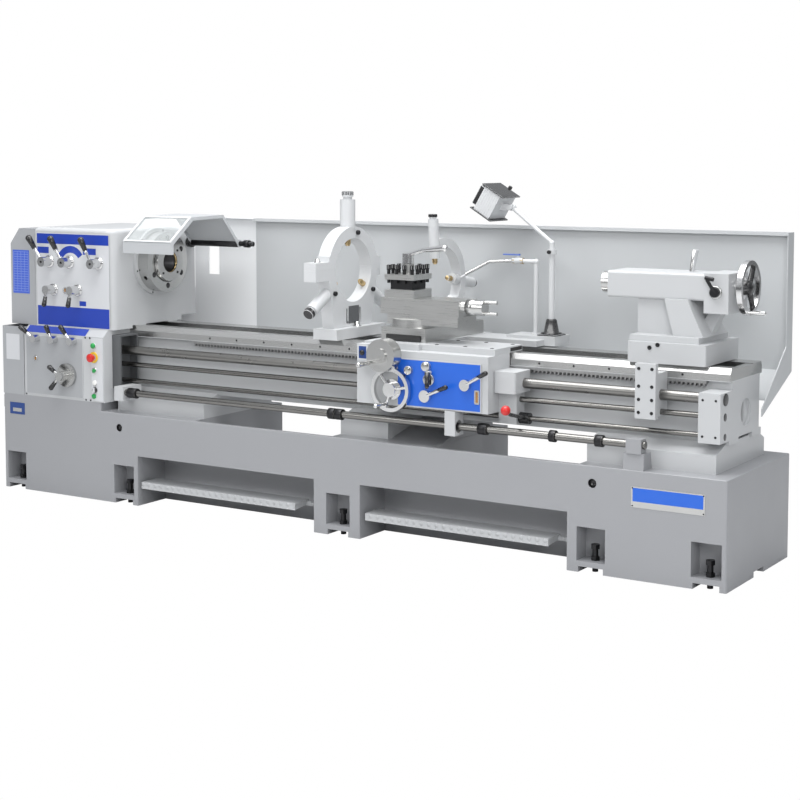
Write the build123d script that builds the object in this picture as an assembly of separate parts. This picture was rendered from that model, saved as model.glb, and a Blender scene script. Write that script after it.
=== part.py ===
from build123d import *
import os
from math import cos, pi, radians, sin

# Engine lathe with a gap bed, built in millimetres.
# X runs along the bed from the headstock end, Y from the operator's side to the back, Z is up.
# Positions are measured from the base's left end, its front face and the floor.

os.makedirs("parts", exist_ok=True)

# Clearances
running = 0.1          # radial gap of a turning or sliding shaft in its bore
slide_gap = 0.3        # gap between faces that pass each other
free_hole = 1.5        # radial gap where a shaft only passes through

# Base casting
base_length = 3850
base_depth = 698
base_top = 438
cabinet_end = 655
cabinet_top = 479
recess_depth = 200
recess_top = 240
recess_left = (886, 1917)
recess_right = (2162, base_length - 680)
pocket_starts = (22, 735, 1983, base_length - 637, base_length - 146)
pocket_width = 126
pocket_depth = 90
shelf_bottom = 24
shelf_top = 46
pocket_top = 186
bolt_inset = 45
bolt_radius = 12

# Bed
bed_start = 215
bed_end = 3780
bed_front = 190
bed_back = 540
bed_bottom = 538
way_underside = 788
way_flat = way_underside + 50
way_ridge = way_flat + 4
way_width = 100
flange_top = 565
wall_thickness = 30
gap_start = 700
gap_end = 1065
gap_floor = 700
foot_front = 85
foot_back = 613
rib_pitch = 480

# Spindle line
centre_height = 306
axis_y = 360
axis_z = way_ridge + centre_height

# Headstock and end cover
head_start = 196
head_end = 700
head_front = 40
head_back = 665
head_bottom = way_flat - 10
head_top = axis_z + 170
spindle_shaft_radius = 90
spindle_bore_radius = 52.5
flange_radius = 149
camlock_circle = 235
camlock_count = 6
cover_sheet = 4

# Feed gearbox and its rods
gearbox_start = 150
gearbox_end = 677
gearbox_back = 190
plate_rise = 4
rods_y = 130
lead_z = 728
lead_radius = 21.5
feed_z = 659
feed_radius = 12
control_z = 581
control_radius = 11
rod_start = 660
stop_y = 22
stop_z = 538
stop_radius = 16
stop_start = 760
stop_end = 3500

# Splash guard
splash_y = 741
splash_end = base_length - 15
splash_top = 1356
chip_slide_high = 775
chip_slide_low = 629
sheet = 4

# Chuck guard
guard_start = 725
guard_end = 1030
guard_hinge_y = 619
guard_hinge_z = 1233
guard_rod_radius = 12

# Carriage
saddle_start = 2150
saddle_end = 2800
saddle_top = way_ridge + 26
bridge_top = saddle_top + 2
apron_bottom = 604
cross_x0 = 2215
cross_x1 = 2440
cross_top = bridge_top + 60
compound_x = 2330
compound_y = 200
compound_top = cross_top + 55
top_slide_top = compound_top + 70
post_x = 2283
post_y = 205
post_half = 75
crank_z = top_slide_top - 25
crank_y = 150
cross_dial_x = 2332
cross_dial_z = 828
wheel_x = 2340
wheel_z = 676
lamp_x = 2806
lamp_y = 560
pipe_x = 2728
box_top = saddle_top + 13

# Steady rest
steady_x0 = 1825
steady_x1 = 1890
steady_inner = 146
steady_outer = 200
steady_split = 1160
steady_hinge_y = 575
finger_radius = 14

# Tailstock
tail_base_top = way_ridge + 85
quill_radius = 45
quill_nose = 3159
tail_wheel_x = bed_end + 5
tail_wheel_radius = 110
tail_handle_tip = 3865
splash_back = splash_y + sheet
crank_reach = 207

saddle_bottom = way_ridge + slide_gap
origin_x = tail_handle_tip / 2
origin_y = (splash_back - crank_reach) / 2


# Helpers

def box(x0, x1, y0, y1, z0, z1):
    middle = Pos((x0 + x1) / 2, (y0 + y1) / 2, (z0 + z1) / 2)
    return middle * Box(x1 - x0, y1 - y0, z1 - z0)


def rod_x(radius, x0, x1, y, z):
    return Pos((x0 + x1) / 2, y, z) * Rot(0, 90, 0) * Cylinder(radius, x1 - x0)


def rod_y(radius, y0, y1, x, z):
    return Pos(x, (y0 + y1) / 2, z) * Rot(90, 0, 0) * Cylinder(radius, y1 - y0)


def rod_z(radius, z0, z1, x, y):
    return Pos(x, y, (z0 + z1) / 2) * Cylinder(radius, z1 - z0)


def bar(start, end, radius, end_radius=None):
    """Round bar between two points, tapered when a second radius is given."""
    first = Vector(*start)
    last = Vector(*end)
    plane = Plane(origin=(first + last) / 2, z_dir=last - first)
    length = (last - first).length
    if end_radius is None:
        return plane.location * Cylinder(radius, length)
    return plane.location * Cone(radius, end_radius, length)


def ball(radius, x, y, z):
    return Pos(x, y, z) * Sphere(radius)


def slab_yz(points, x0, x1):
    face = Plane.YZ.offset(x0) * Polygon(*points, align=None)
    return extrude(face, x1 - x0, dir=(1, 0, 0))


def slab_xz(points, y0, y1):
    face = Plane.XZ.offset(-y1) * Polygon(*points, align=None)
    return extrude(face, y1 - y0, dir=(0, -1, 0))


def join(*shapes):
    return shapes[0] + list(shapes[1:])


def rounded_box(x0, x1, y0, y1, z0, z1, radius):
    block = box(x0, x1, y0, y1, z0, z1)
    return fillet(block.edges().filter_by(Axis.Z), radius)


def polar(angle, radius, y, z):
    """Point in the YZ plane at an angle from +Y towards +Z."""
    return y + radius * cos(radians(angle)), z + radius * sin(radians(angle))


def put(name, shape):
    placed = Pos(-origin_x, -origin_y, 0) * shape
    placed.label = name
    export_step(placed, f"parts/{name}.step")


# Base and bed

def make_base():
    tray = rounded_box(0, base_length, 0, base_depth, 0, base_top, 8)
    tray = fillet(tray.edges().group_by(Axis.Z)[-1], 4)
    cabinet = rounded_box(0, cabinet_end, 0, base_depth, base_top - 20, cabinet_top, 8)
    body = join(tray, cabinet, box(1, cabinet_end - 1, 1, base_depth - 1, base_top - 30, cabinet_top - 10))
    for start, end in (recess_left, recess_right):
        body -= box(start, end, -1, recess_depth, -1, recess_top)
    middle_y = base_depth / 2
    for start in pocket_starts:
        end = start + pocket_width
        for side in (-1, 1):
            face = middle_y + side * middle_y
            inner = face - side * pocket_depth
            low, high = sorted((face + side, inner))
            body -= box(start, end, low, high, shelf_top, pocket_top)
            body -= box(start + 8, end - 8, low, high, -1, shelf_bottom)
            bolt_y = face - side * bolt_inset
            body -= rod_z(bolt_radius + running, shelf_bottom - 1, shelf_top + 1, start + pocket_width / 2, bolt_y)
    for x in (771, base_length - 570):
        body -= rod_y(19, -1, 30, x, 367)
    body -= box(base_length - 60, base_length + 1, 295, 405, -1, 22)
    chute = slab_yz(((90, base_top - 5), (560, base_top - 5), (560, 535), (545, 535)), 2255, 2512)
    stand = slab_yz(((2, base_top - 5), (foot_front, base_top - 5), (70, 505), (6, 505)), 3412, 3500)
    stand_block = box(3425, 3490, -2, 46, 504, 562)
    body = join(body, chute, stand, stand_block)
    for start, end in ((950, 1750), (2200, 3000)):
        body += box(start, end, base_depth - 2, base_depth + 3, 110, 400)
    body -= rod_x(stop_radius + running, 3400, 3510, stop_y, stop_z)
    return body - rod_x(treadle_shaft + running, recess_left[0] - 17, recess_right[1] + 17, treadle_y, treadle_z)


def make_levelling_bolts():
    bolts = []
    for start in pocket_starts:
        x = start + pocket_width / 2
        for y in (bolt_inset, base_depth - bolt_inset):
            shank = rod_z(bolt_radius, 0.5, 100, x, y)
            nut = extrude(Plane.XY.offset(shelf_top) * Pos(x, y) * RegularPolygon(19, 6), 16)
            head = extrude(Plane.XY.offset(94) * Pos(x, y) * RegularPolygon(19, 6), 18)
            bolts.append(join(shank, nut, head))
    return Compound(children=bolts)


def way_profile():
    """Outlines of the front and the rear way, seen along the bed."""
    inner_front = bed_front + way_width
    inner_back = bed_back - way_width
    front = (
        (bed_front, way_underside),
        (inner_front, way_underside),
        (inner_front, way_flat),
        (bed_front + 32, way_flat),
        (bed_front + 22, way_ridge),
        (bed_front + 15, way_ridge),
        (bed_front, way_ridge - 24),
    )
    rear = (
        (inner_back, way_underside),
        (bed_back, way_underside),
        (bed_back, way_flat - 18),
        (bed_back - 8, way_flat),
        (inner_back, way_flat),
    )
    return front, rear


def make_bed():
    front, rear = way_profile()
    parts = [slab_yz(front, bed_start, bed_end), slab_yz(rear, bed_start, bed_end)]
    for y0, y1 in ((bed_front, bed_front + way_width), (bed_back - way_width, bed_back)):
        parts.append(box(bed_start, bed_end, y0, y1, bed_bottom, flange_top))
    wall_back = bed_back - 25
    for y0 in (bed_front + 25, wall_back - wall_thickness):
        parts.append(box(bed_start, bed_end, y0, y0 + wall_thickness, flange_top - 1, way_underside + 1))
    parts.append(box(bed_start, gap_end + 30, bed_front + 25, wall_back, gap_floor - 40, gap_floor))
    parts.append(box(bed_start, 650, bed_front, bed_back, cabinet_top, bed_bottom + 1))
    x = 1240
    while x < bed_end - rib_pitch / 2:
        parts.append(box(x, x + 30, bed_front + 50, wall_back - 5, flange_top - 5, 800))
        x += rib_pitch
    parts.append(box(bed_end - 30, bed_end, bed_front + 25, wall_back, flange_top - 5, way_flat - 2))
    foot = (
        (foot_front, base_top),
        (foot_back, base_top),
        (foot_back, 510),
        (bed_back, 545),
        (bed_front, 545),
        (foot_front, 512),
    )
    for start, end in ((690, 1225), (2005, 2255), (bed_end - 565, bed_end - 12)):
        parts.append(slab_yz(foot, start, end))
    parts.append(box(745, 800, -2, 130, 498, 566))
    bed = join(*parts)
    bed -= box(gap_start, gap_end, bed_front - 5, bed_back + 5, gap_floor, way_ridge + 5)
    bed -= rod_x(56, bed_end - 12, bed_end + 1, 365, 650)
    bed -= rod_x(stop_radius + running, 740, 805, stop_y, stop_z)
    window = box(bed_end - 40, bed_end + 1, 335, 372, 610, 690)
    return bed - window


def make_gap_bridge():
    front, rear = way_profile()
    start = gap_start + slide_gap
    end = gap_end - slide_gap
    body = box(start, end, bed_front + 25, bed_back - 25, gap_floor, way_underside + 1)
    return join(body, slab_yz(front, start, end), slab_yz(rear, start, end)) - box(
        start + 40, end - 40, bed_front + way_width, bed_back - way_width, gap_floor - 1, way_ridge + 1)


def make_feed_rack():
    pitch = 6 * pi
    start = 1080
    root = way_underside - 12
    tip = root - 12
    teeth = int((bed_end - 98 - start) / pitch)
    rack = box(start, start + teeth * pitch, bed_front, bed_front + 24, root, way_underside)
    tooth = slab_xz(((0, root + 0.5), (2.5, tip), (6.5, tip), (9, root + 0.5)), bed_front, bed_front + 24)
    row = [Pos(start + 4 + index * pitch, 0, 0) * tooth for index in range(teeth)]
    return rack + row


# Headstock

def make_headstock():
    body = box(head_start, head_end, head_front, head_back, head_bottom, head_top)
    corner = body.edges().filter_by(Axis.Z).sort_by(Axis.X)[-2:].sort_by(Axis.Y)[0]
    body = fillet(corner, 45)
    body = fillet(body.edges().group_by(Axis.Z)[-1], 22)
    body -= box(head_start - 1, head_end + 1, 185, 555, head_bottom - 1, way_ridge)
    body -= box(head_start - 1, head_end + 1, 555, head_back + 1, head_bottom - 1, way_ridge + 22)
    pads = box(bed_start, head_end, 450, 520, way_flat, way_ridge + 1)
    front_pad = box(bed_start, head_end, 225, 285, way_flat, way_ridge + 1)
    ring = rod_x(165, head_end - 1, head_end + 16, axis_y, axis_z)
    body = join(body, pads, front_pad, ring)
    body -= rod_x(spindle_shaft_radius + running, head_start - 1, head_end + 20, axis_y, axis_z)
    body -= rod_x(guard_rod_radius + running, 650, head_end + 1, guard_hinge_y, guard_hinge_z)
    for x, z in upper_levers + lower_levers:
        body -= rod_y(lever_shaft + running, head_front - 1, head_front + 40, x, z)
    return body


def make_spindle():
    body = join(
        rod_x(spindle_shaft_radius, 190, 717, axis_y, axis_z),
        rod_x(75, 60, 191, axis_y, axis_z),
        rod_x(flange_radius, head_end + 16 + slide_gap, 780, axis_y, axis_z),
        Pos(788, axis_y, axis_z) * Rot(0, 90, 0) * Cone(98, 94, 18),
    )
    body -= rod_x(spindle_bore_radius, 0, 900, axis_y, axis_z)
    for index in range(camlock_count):
        angle = 30 + index * 360 / camlock_count
        y, z = polar(angle, camlock_circle / 2, axis_y, axis_z)
        body -= rod_x(14, 740, 781, y, z)
        inner = polar(angle, 120, axis_y, axis_z)
        outer = polar(angle, flange_radius + 2, axis_y, axis_z)
        body -= bar((748, *inner), (748, *outer), 11)
    return body


def make_end_cover():
    top = head_top - 8
    step = head_bottom - 13
    upper = slab_xz(((26, step), (26, top - 77), (87, top), (194, top), (194, head_bottom),
                     (145, head_bottom), (145, step)), 40, 640)
    lower = box(0, 145, 0, 640, cabinet_top, step + 5)
    inner_top = top - cover_sheet
    inner = slab_xz(((30, step + 4), (30, top - 79), (89, inner_top), (195, inner_top),
                     (195, head_bottom + cover_sheet), (141, head_bottom + cover_sheet), (141, step + 4)), 44, 636)
    lower_inner = box(cover_sheet, 141, cover_sheet, 636, cabinet_top + cover_sheet, step + 15)
    cover = join(upper, lower)
    cover = cover - inner - lower_inner
    floor = box(2, 143, 2, 638, cabinet_top, cabinet_top + cover_sheet)
    return join(cover, floor) - rod_x(60, 20, 40, axis_y, axis_z)


# Feed gearbox

def make_feed_gearbox():
    profile = ((0, cabinet_top), (gearbox_back, cabinet_top), (gearbox_back, head_bottom),
               (32, head_bottom), (0, head_bottom - 31))
    body = slab_yz(profile, gearbox_start, gearbox_end)
    body += box(165, 545, -plate_rise, 1, 490, 785)
    for x in gearbox_lever_x:
        body -= rod_y(lever_shaft + running, -plate_rise - 1, 30, x, gearbox_lever_z)
    body -= rod_y(16 + running, -plate_rise - 1, 40, *dial_centre)
    body -= rod_y(8 + running, -1, 30, *stop_button)
    body -= rod_y(10 + running, -1, 30, *start_button)
    for radius, z in ((lead_radius, lead_z), (feed_radius, feed_z), (control_radius, control_z)):
        body -= rod_x(radius + running, rod_start - 0.5, gearbox_end + 1, rods_y, z)
    return body


def make_switch_panel():
    panel = box(602, 673, -5, 0, 486, 790)
    selector = join(rod_y(14, -12, -4, 625, 540), box(621, 629, -20, -11, 528, 552))
    panel = join(panel, rod_y(13, -16, -4, 620, 755), rod_y(12, -10, -4, 625, 575), selector,
                 rod_y(12, -10, -4, 619, 509), rod_y(27, -8, -4, *stop_button),
                 rod_y(15, -9, -4, *start_button))
    panel -= rod_y(8 + running, -10, 1, *stop_button)
    return panel - rod_y(10 + running, -12, 1, *start_button)


def make_rod_box():
    shell = box(gearbox_end, 730, 62, 189.7, 545, 805) - box(685, 731, 70, 181, 553, 797)
    for radius, z in ((lead_radius, lead_z), (feed_radius, feed_z), (control_radius, control_z)):
        shell -= rod_x(radius + free_hole, 670, 690, rods_y, z)
    return shell


def make_stop_rod():
    rod = rod_x(stop_radius, stop_start, stop_end, stop_y, stop_z)
    for x0, x1 in ((818, 870), (1988, 2020), (2026, 2060), (2748, 2790), (3080, 3106), (3285, 3318)):
        rod += rod_x(24, x0, x1, stop_y, stop_z)
    return rod


# Guards

def make_splash_guard():
    wall_back = bed_back - 25
    edge_z = chip_slide_low + (wall_back - 400) * (chip_slide_high - chip_slide_low) / (splash_back - 400)
    panel = box(1039, splash_end, splash_y, splash_back, chip_slide_high, splash_top)
    slide = slab_yz(((wall_back, edge_z), (splash_back, chip_slide_high), (splash_back, chip_slide_high + sheet),
                     (wall_back, edge_z + sheet)), gap_end + 35, splash_end)
    lip = box(1039, splash_end, splash_y - 25, splash_back, splash_top - sheet, splash_top)
    lip_edge = box(1039, splash_end, splash_y - 25, splash_y - 25 + sheet, splash_top - 15, splash_top)
    left = slab_xz(((800, base_top), (1040, base_top), (1040, splash_top), (640, splash_top), (640, 990),
                    (560, 990), (560, 797), (800, 797)), splash_y, splash_back)
    left -= box(734, 800, splash_y - 1, splash_back + 1, 1063, splash_top - 30)
    left_lip = box(640, 1040, splash_y - 25, splash_back, splash_top - sheet, splash_top)
    left_floor = box(800, 1040, 650, splash_back, base_top, base_top + sheet)
    wing = slab_yz(((splash_y - 66, splash_top), (splash_back, splash_top), (splash_back, chip_slide_high),
                    (400, chip_slide_low), (400, chip_slide_low + 31), (splash_y - 66, 885)), splash_end - sheet, splash_end)
    return join(panel, slide, lip, lip_edge, left, left_lip, left_floor, wing)


def strip(points, inner_points, x0, x1):
    """Bent sheet: the band between an outer and an inner line, seen along the bed."""
    return slab_yz(tuple(points) + tuple(reversed(inner_points)), x0, x1)


def make_chuck_guard():
    outer = ((94, 1203), (94, 1258), (251, 1376), (488, 1381), (guard_hinge_y, guard_hinge_z + 1))
    inner = ((98, 1203), (98, 1256), (252.5, 1372), (486, 1377), (616, 1231))
    deep = ((110, 1203), (110, 1250), (256, 1360), (481, 1365), (608, 1221))
    hood = strip(outer, inner, guard_start, guard_end)
    hood += [strip(outer, deep, guard_start, guard_start + sheet), strip(outer, deep, guard_end - sheet, guard_end)]
    low = incline_point(8)
    high = incline_point(186)
    rise = (-6, 8)
    hole = slab_yz((
        (low[0] + rise[0], low[1] + rise[1]),
        (high[0] + rise[0], high[1] + rise[1]),
        (high[0] - rise[0], high[1] - rise[1]),
        (low[0] - rise[0], low[1] - rise[1]),
    ), guard_start + 14, guard_end - 14)
    hood -= hole
    rod = rod_x(guard_rod_radius, 652, 1114, guard_hinge_y, guard_hinge_z)
    collar = rod_x(20, head_end + slide_gap, 724, guard_hinge_y, guard_hinge_z)
    sleeve = rod_x(18, guard_start, guard_end, guard_hinge_y, guard_hinge_z)
    nut = rod_x(18, 1060, 1090, guard_hinge_y, guard_hinge_z)
    return join(hood, rod, collar, sleeve, nut)


def incline_point(distance):
    """Point on the hood's front slope, measured from its lower bend."""
    length = 196.4
    return 94 + 157 * distance / length, 1258 + 118 * distance / length


def make_guard_window():
    low = incline_point(3)
    high = incline_point(191)
    normal = (-0.601 * 3, 0.799 * 3)
    return slab_yz((low, high, (high[0] + normal[0], high[1] + normal[1]),
                    (low[0] + normal[0], low[1] + normal[1])), guard_start + 7, guard_end - 7)


# Levers and buttons

lever_shaft = 10
upper_levers = ((291, 1151), (425, 1151), (615, 1151))
lower_levers = ((317, 1013), (477, 1015))
upper_grips = ((-76, 115), (-64, 115), (-54, 114))
lower_grip = (-8, -72)
gearbox_lever_x = (243, 364, 490)
gearbox_lever_z = 770
gearbox_grips = ((-77, 52), (-25, 62), (-54, 67))
dial_centre = (445, 600)
stop_button = (619, 698)
start_button = (624, 634)
treadle_shaft = 12
treadle_y = 110
treadle_z = 100


def make_lever(x, z, face, hub, depth, grip, reach, knob):
    """Lever turning on a shaft square to a front face: hub, bar and tapered black grip."""
    dx, dz = grip
    root = face - slide_gap
    hub_front = root - depth
    arm_y = hub_front + 10
    tip_y = arm_y - reach
    middle = (x + dx * 0.5, arm_y - reach * 0.5, z + dz * 0.5)
    tip = (x + dx, tip_y, z + dz)
    return join(
        rod_y(hub, hub_front, root, x, z),
        rod_y(lever_shaft, root - 1, face + 28, x, z),
        bar((x, arm_y, z), middle, 8),
        bar(middle, tip, 9, knob),
        ball(knob, *tip),
    )


def make_dial():
    x, z = dial_centre
    face = -plate_rise - slide_gap
    dial = join(rod_y(58, face - 16, face, x, z), rod_y(22, -70, face - 15, x, z),
                rod_y(16, face - 1, 36, x, z))
    for dx, dz in ((-65, 40), (-57, -61)):
        dial += [bar((x, -62, z), (x + dx, -62, z + dz), 8, 6), ball(12, x + dx, -62, z + dz)]
    return dial


def make_stop_button():
    return join(rod_y(20, -36, -26, *stop_button), rod_y(14, -27, -14, *stop_button),
                rod_y(8, -15, 18, *stop_button))


def make_start_button():
    return rod_y(10, -14, 18, *start_button)


def make_treadle():
    parts = []
    for start, end in ((900, 1805), (2184, 3080)):
        parts.append(box(start, end, 10, 120, 110, 116))
        parts.append(box(start, end, 10, 16, 84, 116))
        for x in (start, end - 8):
            parts.append(slab_yz(((12, 86), (24, 86), (120, 96), (120, 114), (12, 114)), x, x + 8))
    parts.append(rod_x(treadle_shaft, recess_left[0] - 15, recess_right[1] + 15, treadle_y, treadle_z))
    return join(*parts)


# Feed rods and their brackets

def make_rod(radius, z, end):
    return rod_x(radius, rod_start, end, rods_y, z)


def make_rod_end_bracket():
    start = bed_end - 86
    end = bed_end + 5
    body = join(box(start, end, 78, bed_front, 559, 755), box(start, bed_end, 150, bed_front + 25, flange_top, 755))
    for radius, z in ((lead_radius, lead_z), (feed_radius, feed_z), (control_radius, control_z)):
        body -= rod_x(radius + running, start - 4, end + 5, rods_y, z)
    return join(body, rod_x(24, bed_end - 8, end + 3, rods_y, lead_z))


def make_rod_support():
    middle = bed_end - 302
    plate = box(middle - 44, middle + 44, 60, 85, 636, way_underside + 68)
    body = box(middle - 38, middle + 38, 84, bed_front - slide_gap, 642, way_underside - 2)
    shelf = box(middle - 38, middle + 38, 84, bed_front - slide_gap, way_underside - 3, way_underside + 27)
    body = join(plate, body, shelf)
    for radius, z in ((lead_radius, lead_z), (feed_radius, feed_z)):
        body -= rod_x(radius + running, middle - 48, middle + 52, rods_y, z)
    return body


# Carriage

def make_saddle():
    wing_front = box(saddle_start, saddle_end, 60, 300, saddle_bottom, saddle_top)
    wing_rear = box(saddle_start, saddle_end, 430, 620, saddle_bottom, saddle_top)
    bridge = box(2200, 2460, 90, 640, saddle_bottom, bridge_top)
    rear_box = box(2614, 2854, 500, 640, saddle_bottom, box_top)
    boss = box(2225, 2440, 40, 100, saddle_bottom, saddle_top)
    key_top = bridge_top + 14
    key = slab_xz(((2290, bridge_top - 1), (2370, bridge_top - 1), (2380, key_top), (2280, key_top)), 100, 590)
    return join(wing_front, wing_rear, bridge, rear_box, boss, key)


def make_apron():
    body = box(saddle_start, saddle_end + 2, 0, 185, apron_bottom, saddle_bottom)
    plate = box(2360, 2772, -6, 1, 608, 812)
    housing = rounded_box(2801, 2905, 45, 185, 690, 780, 12)
    boss = rod_y(40, -36, 1, cross_dial_x, cross_dial_z)
    switch = box(2177, 2234, -40, 1, 793, 866)
    bracket = box(2801, 2885, 95, 165, 556, 691)
    finger = box(2600, 2650, -12, 60, 500, apron_bottom + 1)
    knobs = join(rod_y(18, -22, 1, 2422, 764), rod_y(20, -22, 1, 2509, 786), rod_y(26, -16, 1, 2521, 730))
    grip = bar((2526, -30, 765), (2526, -34, 700), 11, 9)
    link = rod_y(7, -32, 1, 2526, 762)
    body = join(body, plate, housing, boss, switch, bracket, finger, knobs, grip, link)
    body -= rod_x(lead_radius + running, 2100, 2950, rods_y, lead_z)
    body -= rod_x(feed_radius + running, 2100, 2950, rods_y, feed_z)
    body -= rod_x(control_radius + running, 2700, 2950, rods_y, control_z)
    body -= rod_x(27, 2590, 2660, stop_y, stop_z)
    body -= rod_y(14 + running, -40, 50, cross_dial_x, cross_dial_z)
    body -= rod_y(15 + running, -20, 50, wheel_x, wheel_z)
    for x, z in (half_nut, feed_hub):
        body -= rod_y(lever_shaft + running, -10, 30, x, z)
    return body


half_nut = (2703, 721)
half_nut_grip = (109, 60)
feed_hub = (2508, 660)
feed_grip = (113, 48)


def make_cross_slide():
    body = box(cross_x0, cross_x1, 95, 600, bridge_top + slide_gap, cross_top)
    groove_top = bridge_top + 14.4
    groove = slab_xz(((2289.5, bridge_top - 5), (2370.5, bridge_top - 5), (2381, groove_top), (2279, groove_top)), 90, 610)
    turntable = rod_z(110, cross_top - 1, cross_top + 6, compound_x, compound_y)
    pin = rod_z(30, cross_top, cross_top + 25, compound_x, compound_y)
    return join(body - groove, turntable, pin)


def make_compound_base():
    body = box(2230, 2585, 120, 280, cross_top + 12, compound_top)
    disc = rod_z(108, cross_top + 6 + slide_gap, compound_top - 20, compound_x, compound_y)
    key = box(2240, 2575, 165, 235, compound_top - 1, compound_top + 12)
    body = join(body, disc, key)
    return body - rod_z(30 + running, cross_top, cross_top + 25 + slide_gap, compound_x, compound_y)


def make_top_slide():
    body = box(2193, 2589, 122, 278, compound_top + slide_gap, top_slide_top)
    body -= box(2190, 2592, 165 - slide_gap, 235 + slide_gap, compound_top, compound_top + 12 + slide_gap)
    screw_block = rod_x(24, 2588, 2612, crank_y, crank_z)
    pin = rod_z(18, top_slide_top - 1, 1230, post_x, post_y)
    body = join(body, screw_block, pin)
    return body - rod_x(10 + running, 2580, 2613, crank_y, crank_z)


def make_crank():
    dial = join(rod_x(33, 2619, 2702, crank_y, crank_z), rod_x(24, 2612 + slide_gap, 2620, crank_y, crank_z),
                rod_x(10, 2585, 2613, crank_y, crank_z))
    for side in (-1, 1):
        dial += rod_x(8, 2700, 2760, crank_y, crank_z + side * 24)
    return dial


def make_toolpost():
    low = top_slide_top + slide_gap
    x0, x1 = post_x - post_half, post_x + post_half
    y0, y1 = post_y - post_half, post_y + post_half
    body = join(
        box(x0, x1, y0, y1, low, 1090),
        box(x0 + 20, x1 - 20, y0 + 20, y1 - 20, 1089, 1134),
        box(x0, x1, y0, y1, 1133, 1157),
        rod_z(26, 1156, 1200, post_x, post_y),
    )
    for step in (-60, -20, 20, 60):
        spots = ((post_x + step, y0 + 12), (post_x + step, y1 - 12))
        for x, y in spots:
            body += rod_z(7, 1120, 1196, x, y)
    for step in (-25, 25):
        for x in (x0 + 12, x1 - 12):
            body += rod_z(7, 1120, 1196, x, post_y + step)
    return body - rod_z(18 + running, low - 1, 1205, post_x, post_y)


def make_toolpost_lever():
    hub = rod_z(26, 1200 + slide_gap, 1245, post_x, post_y) - rod_z(18 + running, 1190, 1230 + slide_gap, post_x, post_y)
    arm = bar((post_x, post_y, 1238), (2370, 190, 1262), 9)
    grip = bar((2370, 190, 1262), (2490, 170, 1276), 9, 15)
    return join(hub, arm - rod_z(18 + running, 1190, 1230 + slide_gap, post_x, post_y), grip, ball(15, 2490, 170, 1276))


def make_cross_handwheel():
    drum = join(rod_y(70, -97, -36 - slide_gap, cross_dial_x, cross_dial_z),
                rod_y(30, -106, -96, cross_dial_x, cross_dial_z),
                rod_y(14, -37, 45, cross_dial_x, cross_dial_z))
    x = cross_dial_x - 42
    z = cross_dial_z - 30
    handle = bar((x, -95, z), (x - 2, -crank_reach + 12, z - 2), 8, 12)
    return join(drum, handle, ball(12, x - 2, -crank_reach + 12, z - 2))


def make_handwheel(centre_x, centre_z, radius):
    """Three-spoked wheel facing the operator, with its handle."""
    face = -6 - slide_gap
    rim = rod_y(radius, -36, -16, centre_x, centre_z) - rod_y(radius - 16, -40, -10, centre_x, centre_z)
    hub = join(rod_y(30, -42, face, centre_x, centre_z), rod_y(44, -16, face, centre_x, centre_z),
               rod_y(15, face - 1, 45, centre_x, centre_z))
    spokes = []
    for angle in (10, 130, 250):
        end_x = centre_x + (radius - 8) * cos(radians(angle))
        end_z = centre_z + (radius - 8) * sin(radians(angle))
        spokes.append(bar((centre_x, -26.5, centre_z), (end_x, -26.5, end_z), 7.5))
    handle_x = centre_x + 66 * cos(radians(250))
    handle_z = centre_z + 66 * sin(radians(250))
    handle = bar((handle_x, -27, handle_z), (handle_x, -108, handle_z), 6.5, 11)
    return join(rim, hub, *spokes, handle, ball(11, handle_x, -108, handle_z))


def make_control_lever():
    hub = rod_x(24, 2885 + slide_gap, 2930, rods_y, control_z)
    arm = bar((2910, rods_y, control_z), (2922, -30, 618), 8)
    handle = bar((2922, -30, 618), (2929, -80, 642), 7)
    lever = join(hub, arm, handle, ball(20, 2929, -80, 642))
    return lever - rod_x(control_radius + running, 2880, 2935, rods_y, control_z)


def make_lamp_post():
    foot = box(lamp_x - 46, lamp_x + 46, lamp_y - 46, lamp_y + 46, box_top, box_top + 8)
    cone = Pos(lamp_x, lamp_y, 920) * Cone(32, 20, 64)
    post = rod_z(13, 940, 1240, lamp_x, lamp_y)
    return join(foot, cone, post) - rod_z(8 + running, 1190, 1241, lamp_x, lamp_y)


def make_lamp_arm():
    pin = rod_z(8, 1191, 1245, lamp_x, lamp_y)
    sleeve = rod_z(20, 1240 + slide_gap, 1262, lamp_x, lamp_y)
    neck = rod_z(11, 1260, 1290, lamp_x, lamp_y)
    knee = ball(12, lamp_x, lamp_y, 1290)
    arm = bar((lamp_x, lamp_y, 1290), (2614, lamp_y, 1437), 9)
    eye = rod_y(15, lamp_y - 9, lamp_y + 9, lamp_tilt_x, lamp_tilt_z)
    return join(pin, sleeve, neck, knee, arm, eye) - rod_y(6 + running, lamp_y - 20, lamp_y + 20, lamp_tilt_x, lamp_tilt_z)


lamp_tilt_x = 2608
lamp_tilt_z = 1442


def make_lamp_head():
    """Shade pointing down and to the left, hung on a pin through the arm's eye."""
    plane = Plane(origin=(2519, lamp_y, 1465), x_dir=(0, 1, 0), z_dir=(-0.857, 0, 0.515))
    shade = plane.location * Box(150, 118, 88)
    flange_low = plane.location * Pos(0, 61, 0) * Box(164, 5, 118)
    flange_high = plane.location * Pos(0, -61, 0) * Box(164, 5, 118)
    face = plane.location * Pos(0, 0, 57) * Box(120, 92, 30)
    cheeks = []
    for side in (-1, 1):
        y = lamp_y + side * 13
        cheeks.append(slab_xz(((2535, 1432), (2608, 1430), (2614, 1450), (2550, 1466)), y - 3.5, y + 3.5))
    pin = rod_y(6, lamp_y - 20, lamp_y + 20, lamp_tilt_x, lamp_tilt_z)
    return join(shade, flange_low, flange_high, face, *cheeks, pin)


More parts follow.
